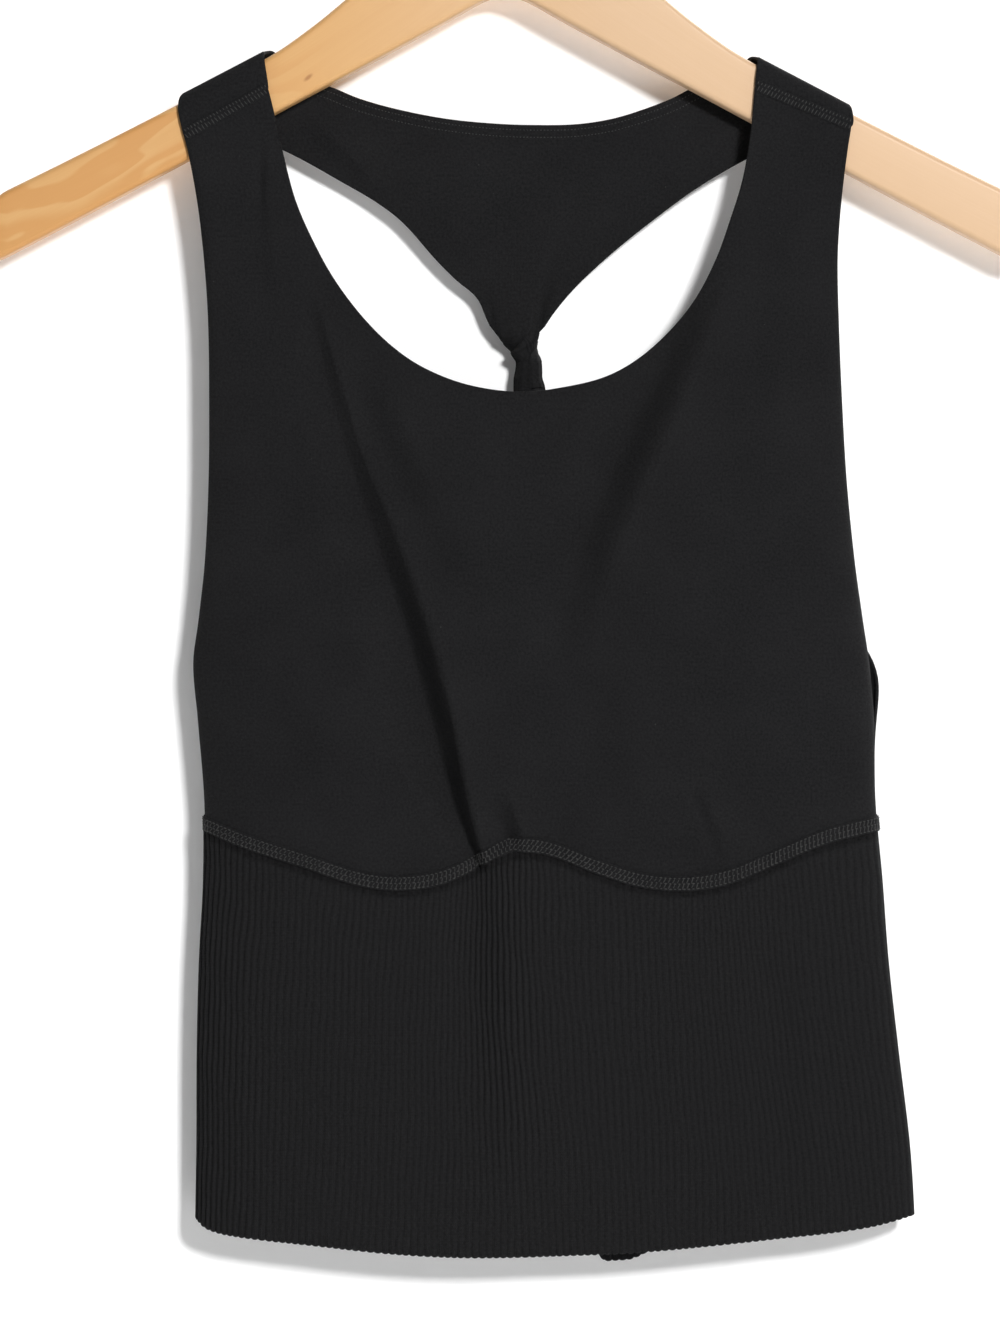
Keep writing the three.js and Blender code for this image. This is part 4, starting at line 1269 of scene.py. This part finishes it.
def stitch_rows(name, rows, pitch, length, width, slant=0.0):
    """Stitches along rows, each of which is points and facing directions in millimetres."""
    points, facing = [np.vstack(lines) for lines in zip(*rows)]
    ends = np.cumsum([len(line) for line, _ in rows])
    links = [(i - 1, i) for i in range(1, len(points)) if i not in ends]
    mesh = bpy.data.meshes.new(name)
    mesh.from_pydata((points * MM).tolist(), links, [])
    attribute(mesh, "facing", facing)
    made = linked(name, mesh)
    modifier = made.modifiers.new("stitches", "NODES")
    modifier.node_group = stitches
    sizes = {"Pitch": pitch * MM, "Length": length * MM, "Width": width * MM}
    wanted = {**sizes, "Slant": slant, "Thread": thread}
    for socket in stitches.interface.items_tree:
        if socket.in_out == "INPUT" and socket.name in wanted:
            modifier[socket.identifier] = wanted[socket.name]
    bpy.context.view_layer.update()
    real = bpy.data.meshes.new_from_object(made.evaluated_get(bpy.context.evaluated_depsgraph_get()))
    made.modifiers.remove(modifier)
    made.data = real
    real.name = name
    if not real.materials:
        real.materials.append(thread)
    return made


print("stitch tree:", len(stitches.nodes), "nodes")

# %% [markdown]
# ## The underbust seam
# The bodice and the rib are joined by a flatlock: both edges lie flat under a band of crossing threads, a
# little over 5 mm wide, in front and behind. The band is a thin strip that stands just proud of the cloth
# and throws a fine shadow on the rib, made deeper by painted shadow in the rib's colour just under the seam.
# Three dotted rows and two ladders of slanted threads cover it.

# %% Flatlock bands
BAND_ROWS = 8
BAND_HALF = 0.35


def on_cloth(q, z, face, lift):
    """Points on the cloth at a lift from its middle, and the directions that they face."""
    step = 1e-3
    du = on_body(np.minimum(q + step, 1), z, face) - on_body(np.maximum(q - step, -1), z, face)
    dv = on_body(q, z + 0.2, face) - on_body(q, z - 0.2, face)
    normals = np.cross(du, dv) * -face
    normals /= np.linalg.norm(normals, axis=-1, keepdims=True)
    return on_body(q, z, face) + normals * np.asarray(lift)[..., None], normals


def band(name, q, base, face, low, high, lift):
    """A thin strip on the cloth along a line, from low to high across it."""
    u, v = shares(len(q) - 1, BAND_ROWS)
    swell = mix(*lift, v) + 0.12 * np.sin(np.pi * v)
    points, _ = on_cloth(q + 0 * u, base + mix(low, high, v), face, swell)
    normals, quads = skin(points)
    if face == BACK:
        normals, quads = -normals, quads[:, ::-1]
    return piece(name, jersey, *wall(points, normals, quads, BAND_HALF, BAND_HALF, points[..., [0, 2]]))


def underbust(side, face):
    q = np.linspace(-0.998, 0.998, 420)
    base = seam_at(q, face)
    strip = band(f"{side}_underbust_band", q, base, face, low=-1.1, high=4.6, lift=(1.25, 0.95))
    dots = [on_cloth(q, base + offset, face, lift=1.68) for offset in (-0.5, 1.7, 4.0)]
    ladder = [on_cloth(q, base + offset, face, lift=1.6) for offset in (0.6, 2.85)]
    return [
        strip, stitch_rows(f"{side}_underbust_dots", dots, pitch=1.9, length=1.25, width=0.55),
        stitch_rows(f"{side}_underbust_ladder", ladder, pitch=1.9, length=2.3, width=0.42, slant=1.15),
    ]


front_flatlock, back_flatlock = underbust("front", FRONT), underbust("back", BACK)
for made in front_flatlock + back_flatlock:
    settle(made)

# %% [markdown]
# ## Shoulder seams and the back neck
# Each shoulder seam is a narrower flatlock with two rows of slanted threads, just in front of the hanger's
# upper edge. The back neck is turned in and held by twin rows of small stitches, which show on both sides.

# %% Shoulder and neck stitching
STITCH_LIFT = 0.06


def shoulder(side, slant):
    line = seam_line(side, np.linspace(0.02, 0.98, 60), FRONT)
    q = share_at(line[:, 0], line[:, 1])
    order = np.argsort(q)
    q, base = q[order], line[order, 1] + SEAM_GAP / 2
    strip = band(f"{side}_shoulder_band", q, base, FRONT, low=-2.3, high=2.3, lift=(0.95, 0.95))
    upper, lower = [[on_cloth(q, base + offset, FRONT, lift=1.42)] for offset in (1.5, -0.9)]
    return [
        strip, stitch_rows(f"{side}_shoulder_dots", upper, pitch=1.5, length=1.4, width=0.45, slant=slant),
        stitch_rows(f"{side}_shoulder_bars", lower, pitch=1.5, length=2.6, width=0.42, slant=slant),
    ]


def inset(points, normals, distance):
    """A line a distance in from the last row of a grid, column by column."""
    line, facing = [], []
    for column, ways in zip(points[::-1].swapaxes(0, 1), normals[::-1].swapaxes(0, 1)):
        run = lengths(column)
        for found, values in ((line, column), (facing, ways)):
            found.append([np.interp(distance, run, values[:, k]) for k in range(3)])
    facing = np.array(facing)
    return np.array(line), facing / np.linalg.norm(facing, axis=1, keepdims=True)


def back_neck():
    points = yoke_surface(*shares(YOKE_STEPS, YOKE_ROWS))
    normals, _ = skin(points)
    span = slice(STRAP_STEPS - 4, YOKE_STEPS + 1 - STRAP_STEPS + 4)
    lines = []
    for distance in (1.6, 4.6):
        line, facing = inset(points[:, span], normals[:, span], distance)
        lines += [(line + facing * side * (JERSEY_HALF + STITCH_LIFT), facing * side) for side in (1, -1)]
    return stitch_rows("back_neck_stitches", lines, pitch=1.42, length=0.8, width=0.42)


left_shoulder, right_shoulder = shoulder("left", 1.75), shoulder("right", 1.4)
neck_stitches = back_neck()
for made in left_shoulder + right_shoulder + [neck_stitches]:
    settle(made)

# %% [markdown]
# ## The hanger
# A flat hanger is sawn from one board, shaped like a shallow roof and eased along its edges. It is a loft
# of rounded sections from tip to tip. An extra point after each rounded corner keeps the faces flat in
# smooth shading. The hook is a loft too, of circles along a bent line, with a rounded tip.

# %% Hanger
HANGER_EDGES = table("x top bottom", """
0 -68 -119.5
7 -68.6 -121.2
12 -71 -123.6
18 -77 -127
28 -88.5 -132.6
46 -105 -142.4
62 -118 -151
79 -132 -160
98 -145.3 -170.2
141 -167.8 -193.2
182 -188.6 -215
207 -200.9 -228.1""")
HANGER_ROUND = 2.7
CORNER_STEPS, BESIDE_CORNER = 7, 0.3
ARM_END, TIP_X, TIP_Z = 207, 222, -222.5
ALONG_ARM = 1.12
HOOK_RADIUS, WIRE_RADIUS = 19, 1.9
SHANK = [(0, 0, -84), (0, 0, -70), (0, 0, -58), (1.2, 0, -50), (6, 0, -42.5)]
WIRE_TIP = [(0.35, 0.94), (0.7, 0.72), (0.93, 0.38)]


def loft(rings):
    """Quads through rings of equal size, with a fan at each end."""
    rings = np.array(rings)
    count, around = rings.shape[:2]
    corner = np.arange(count * around).reshape(count, around)
    after = np.roll(corner, -1, axis=1)
    quads = np.stack([corner[:-1], after[:-1], after[1:], corner[1:]], axis=-1).reshape(-1, 4).tolist()
    points = np.vstack([rings.reshape(-1, 3), rings[0].mean(0), rings[-1].mean(0)])
    first, last = count * around, count * around + 1
    caps = [(first, b, a) for a, b in zip(corner[0].tolist(), after[0].tolist())]
    caps += [(last, a, b) for a, b in zip(corner[-1].tolist(), after[-1].tolist())]
    return points, quads + caps


def rounded_section(x, top, bottom, thickness, round_off):
    ring = []
    for start, (y, z) in enumerate(((1, 1), (-1, 1), (-1, -1), (1, -1))):
        corner_y = y * (thickness / 2 - round_off)
        corner_z = (top + bottom) / 2 + z * ((top - bottom) / 2 - round_off)
        for angle in (start + np.linspace(0, 1, CORNER_STEPS)) * math.pi / 2:
            ring.append((x, corner_y + round_off * math.cos(angle), corner_z + round_off * math.sin(angle)))
        _, y_end, z_end = ring[-1]
        if start % 2 == 0:
            ring.append((x, y_end - y * BESIDE_CORNER, z_end))
        else:
            ring.append((x, y_end, z_end - z * BESIDE_CORNER))
    return ring


def hanger():
    top_at, bottom_at = [through(HANGER_EDGES, "x", name) for name in ("top", "bottom")]
    half = []
    for x in np.concatenate([np.linspace(0, 60, 41), np.linspace(62.5, ARM_END, 60)]):
        half.append(rounded_section(x, top_at(x), bottom_at(x), HANGER_THICKNESS, HANGER_ROUND))
    top, bottom = top_at(ARM_END), bottom_at(ARM_END)
    for share in np.sin(np.linspace(0.12, 1.5, 12)):
        size = math.sqrt(1 - share ** 2)
        middle, reach = mix((top + bottom) / 2, TIP_Z, share), (top - bottom) / 2 * size
        thickness = HANGER_THICKNESS * mix(1, size, 0.6)
        half.append(rounded_section(mix(ARM_END, TIP_X, share), middle + reach, middle - reach, thickness,
                                    min(HANGER_ROUND, thickness / 2.2, reach * 0.9)))
    half = np.array(half)
    points, faces = loft([*half[1:][::-1] * (-1, 1, 1), *half])
    arm = np.abs(points[:, 0])
    centre = (top_at(arm) + bottom_at(arm)) / 2
    grain = np.stack([points[:, 0] * ALONG_ARM, points[:, 2] - centre, points[:, 1]], axis=1)
    return piece("hanger_wood_body", hanger_wood, points, faces, grain=grain)


def hook():
    reach = HOOK_RADIUS + WIRE_RADIUS
    bend = np.radians(np.arange(-50, 206, 25.5))
    bow = [(reach * math.cos(angle), 0, reach * math.sin(angle) - HOOK_RADIUS) for angle in bend]
    line = along(SHANK + bow, 150)
    ahead = np.gradient(line, axis=0)
    ahead /= np.linalg.norm(ahead, axis=1, keepdims=True)
    stations = [(centre, way, 1.0) for centre, way in zip(line, ahead)]
    stations += [(line[-1] + ahead[-1] * WIRE_RADIUS * out, ahead[-1], size) for out, size in WIRE_TIP]
    turn = np.linspace(0, math.tau, 20, endpoint=False)[:, None]
    return piece("hanger_steel_hook", hook_steel, *loft([
        centre + WIRE_RADIUS * size * (np.cos(turn) * (way[2], 0, -way[0]) + np.sin(turn) * (0, 1, 0))
        for centre, way, size in stations
    ]))


settle(hanger(), "hanger_body")
settle(hook(), "hanger_hook")

# %% [markdown]
# ## What was cut
# Each panel of cloth is listed with the size it was cut to before it was sewn: width, length, and the area
# left once the neck and armholes are cut away. Nothing below uses these sizes.

for made, flat, area, others in (
    (front, (0.300, 0.336), 0.0716, front_flatlock + left_shoulder + right_shoulder),
    (back, (0.300, 0.348), 0.0550, [neck_stitches]),
    (front_rib, (0.300, 0.178), 0.0503, []),
    (back_rib, (0.302, 0.183), 0.0533, back_flatlock),
):
    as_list(others)

# %% [markdown]
# ## Stage and light
# The top hangs just in front of a white wall, and a soft light from the upper right throws a narrow shadow
# to its left and below. The wall is seen from its front only, so that it doesn't hide the back of the top,
# and a second light stands behind. The floor is far below. The floor and the sky look pale to the camera
# but give less light than that, which keeps the black cloth black.

# %% Wall, floor and lights
WALL_Y, WALL_REACH, WALL_TOP = 0.0185, 1.3, 1.2
FLOOR_Z, FLOOR_REACH = -1.6, 4
LIT_PLACE = (0, 0, -0.38)
SKY_LIGHT, SKY_LOOKS = 0.11, 0.95


def stage_plane(name, corners, finish):
    mesh = bpy.data.meshes.new(name)
    mesh.from_pydata(corners, [], [(0, 1, 2, 3)])
    mesh.materials.append(finish)
    linked(name, mesh)


def glow(nodes, light, looks):
    """A strength: one value for the light that is given and another for what the camera sees."""
    return nodes.node("ShaderNodeLightPath", output="Is Camera Ray") * (looks - light) + light


def stage_finish(name, one_sided, light, looks):
    """White paint with a glow. From behind, a one-sided one is clear and throws no shadow."""
    finish = Finish(name)
    diffuse = finish.node("ShaderNodeBsdfDiffuse", {}, {"Color": (0.98, 0.98, 0.98, 1)})
    glowing = finish.node("ShaderNodeEmission", {}, {"Strength": glow(finish, light, looks)})
    shader = finish.node("ShaderNodeAddShader", {}, {0: diffuse, 1: glowing})
    if one_sided:
        from_behind = finish.node("ShaderNodeNewGeometry", output="Backfacing")
        shadow = finish.node("ShaderNodeLightPath", output="Is Shadow Ray")
        clear = finish.node("ShaderNodeBsdfTransparent")
        shader = finish.node("ShaderNodeMixShader", {}, {0: from_behind.larger(shadow), 1: shader, 2: clear})
    return finish.shown(shader)


wall_sides = ((-1, FLOOR_Z), (1, FLOOR_Z), (1, WALL_TOP), (-1, WALL_TOP))
floor_sides = ((-1, -1), (1, -1), (1, 1), (-1, 1))
wall_corners = [(x * WALL_REACH, WALL_Y, z) for x, z in wall_sides]
floor_corners = [(x * FLOOR_REACH, y * FLOOR_REACH, FLOOR_Z) for x, y in floor_sides]
stage_plane("white_wall", wall_corners, stage_finish("wall_paint", True, light=0.07, looks=0.07))
stage_plane("pale_floor", floor_corners, stage_finish("floor_paint", False, light=0.15, looks=0.62))


def lamp(name, azimuth, elevation, distance, size, power):
    """A square lamp that faces the top, at an azimuth to the right of straight in front."""
    data = bpy.data.lights.new(name, "AREA")
    data.size = size
    data.energy = power
    made = linked(name, data)
    a, e = math.radians(azimuth), math.radians(elevation)
    away = Vector((math.sin(a) * math.cos(e), -math.cos(a) * math.cos(e), math.sin(e)))
    made.location = Vector(LIT_PLACE) + away * distance
    made.rotation_euler = away.to_track_quat("Z", "Y").to_euler()


lamp("key", azimuth=20, elevation=18, distance=3.0, size=0.42, power=88)
lamp("back_key", azimuth=148, elevation=25, distance=3.0, size=1.4, power=74)
world = bpy.data.worlds.new("studio")
bpy.context.scene.world = world
world.use_nodes = True
backdrop = world.node_tree.nodes["Background"]
backdrop.inputs["Color"].default_value = (1, 1, 1, 1)
strength = glow(Nodes(world.node_tree), SKY_LIGHT, SKY_LOOKS)
world.node_tree.links.new(strength.link, backdrop.inputs["Strength"])
bpy.context.scene.view_settings.view_transform = "Standard"
print("stage and lights are set")
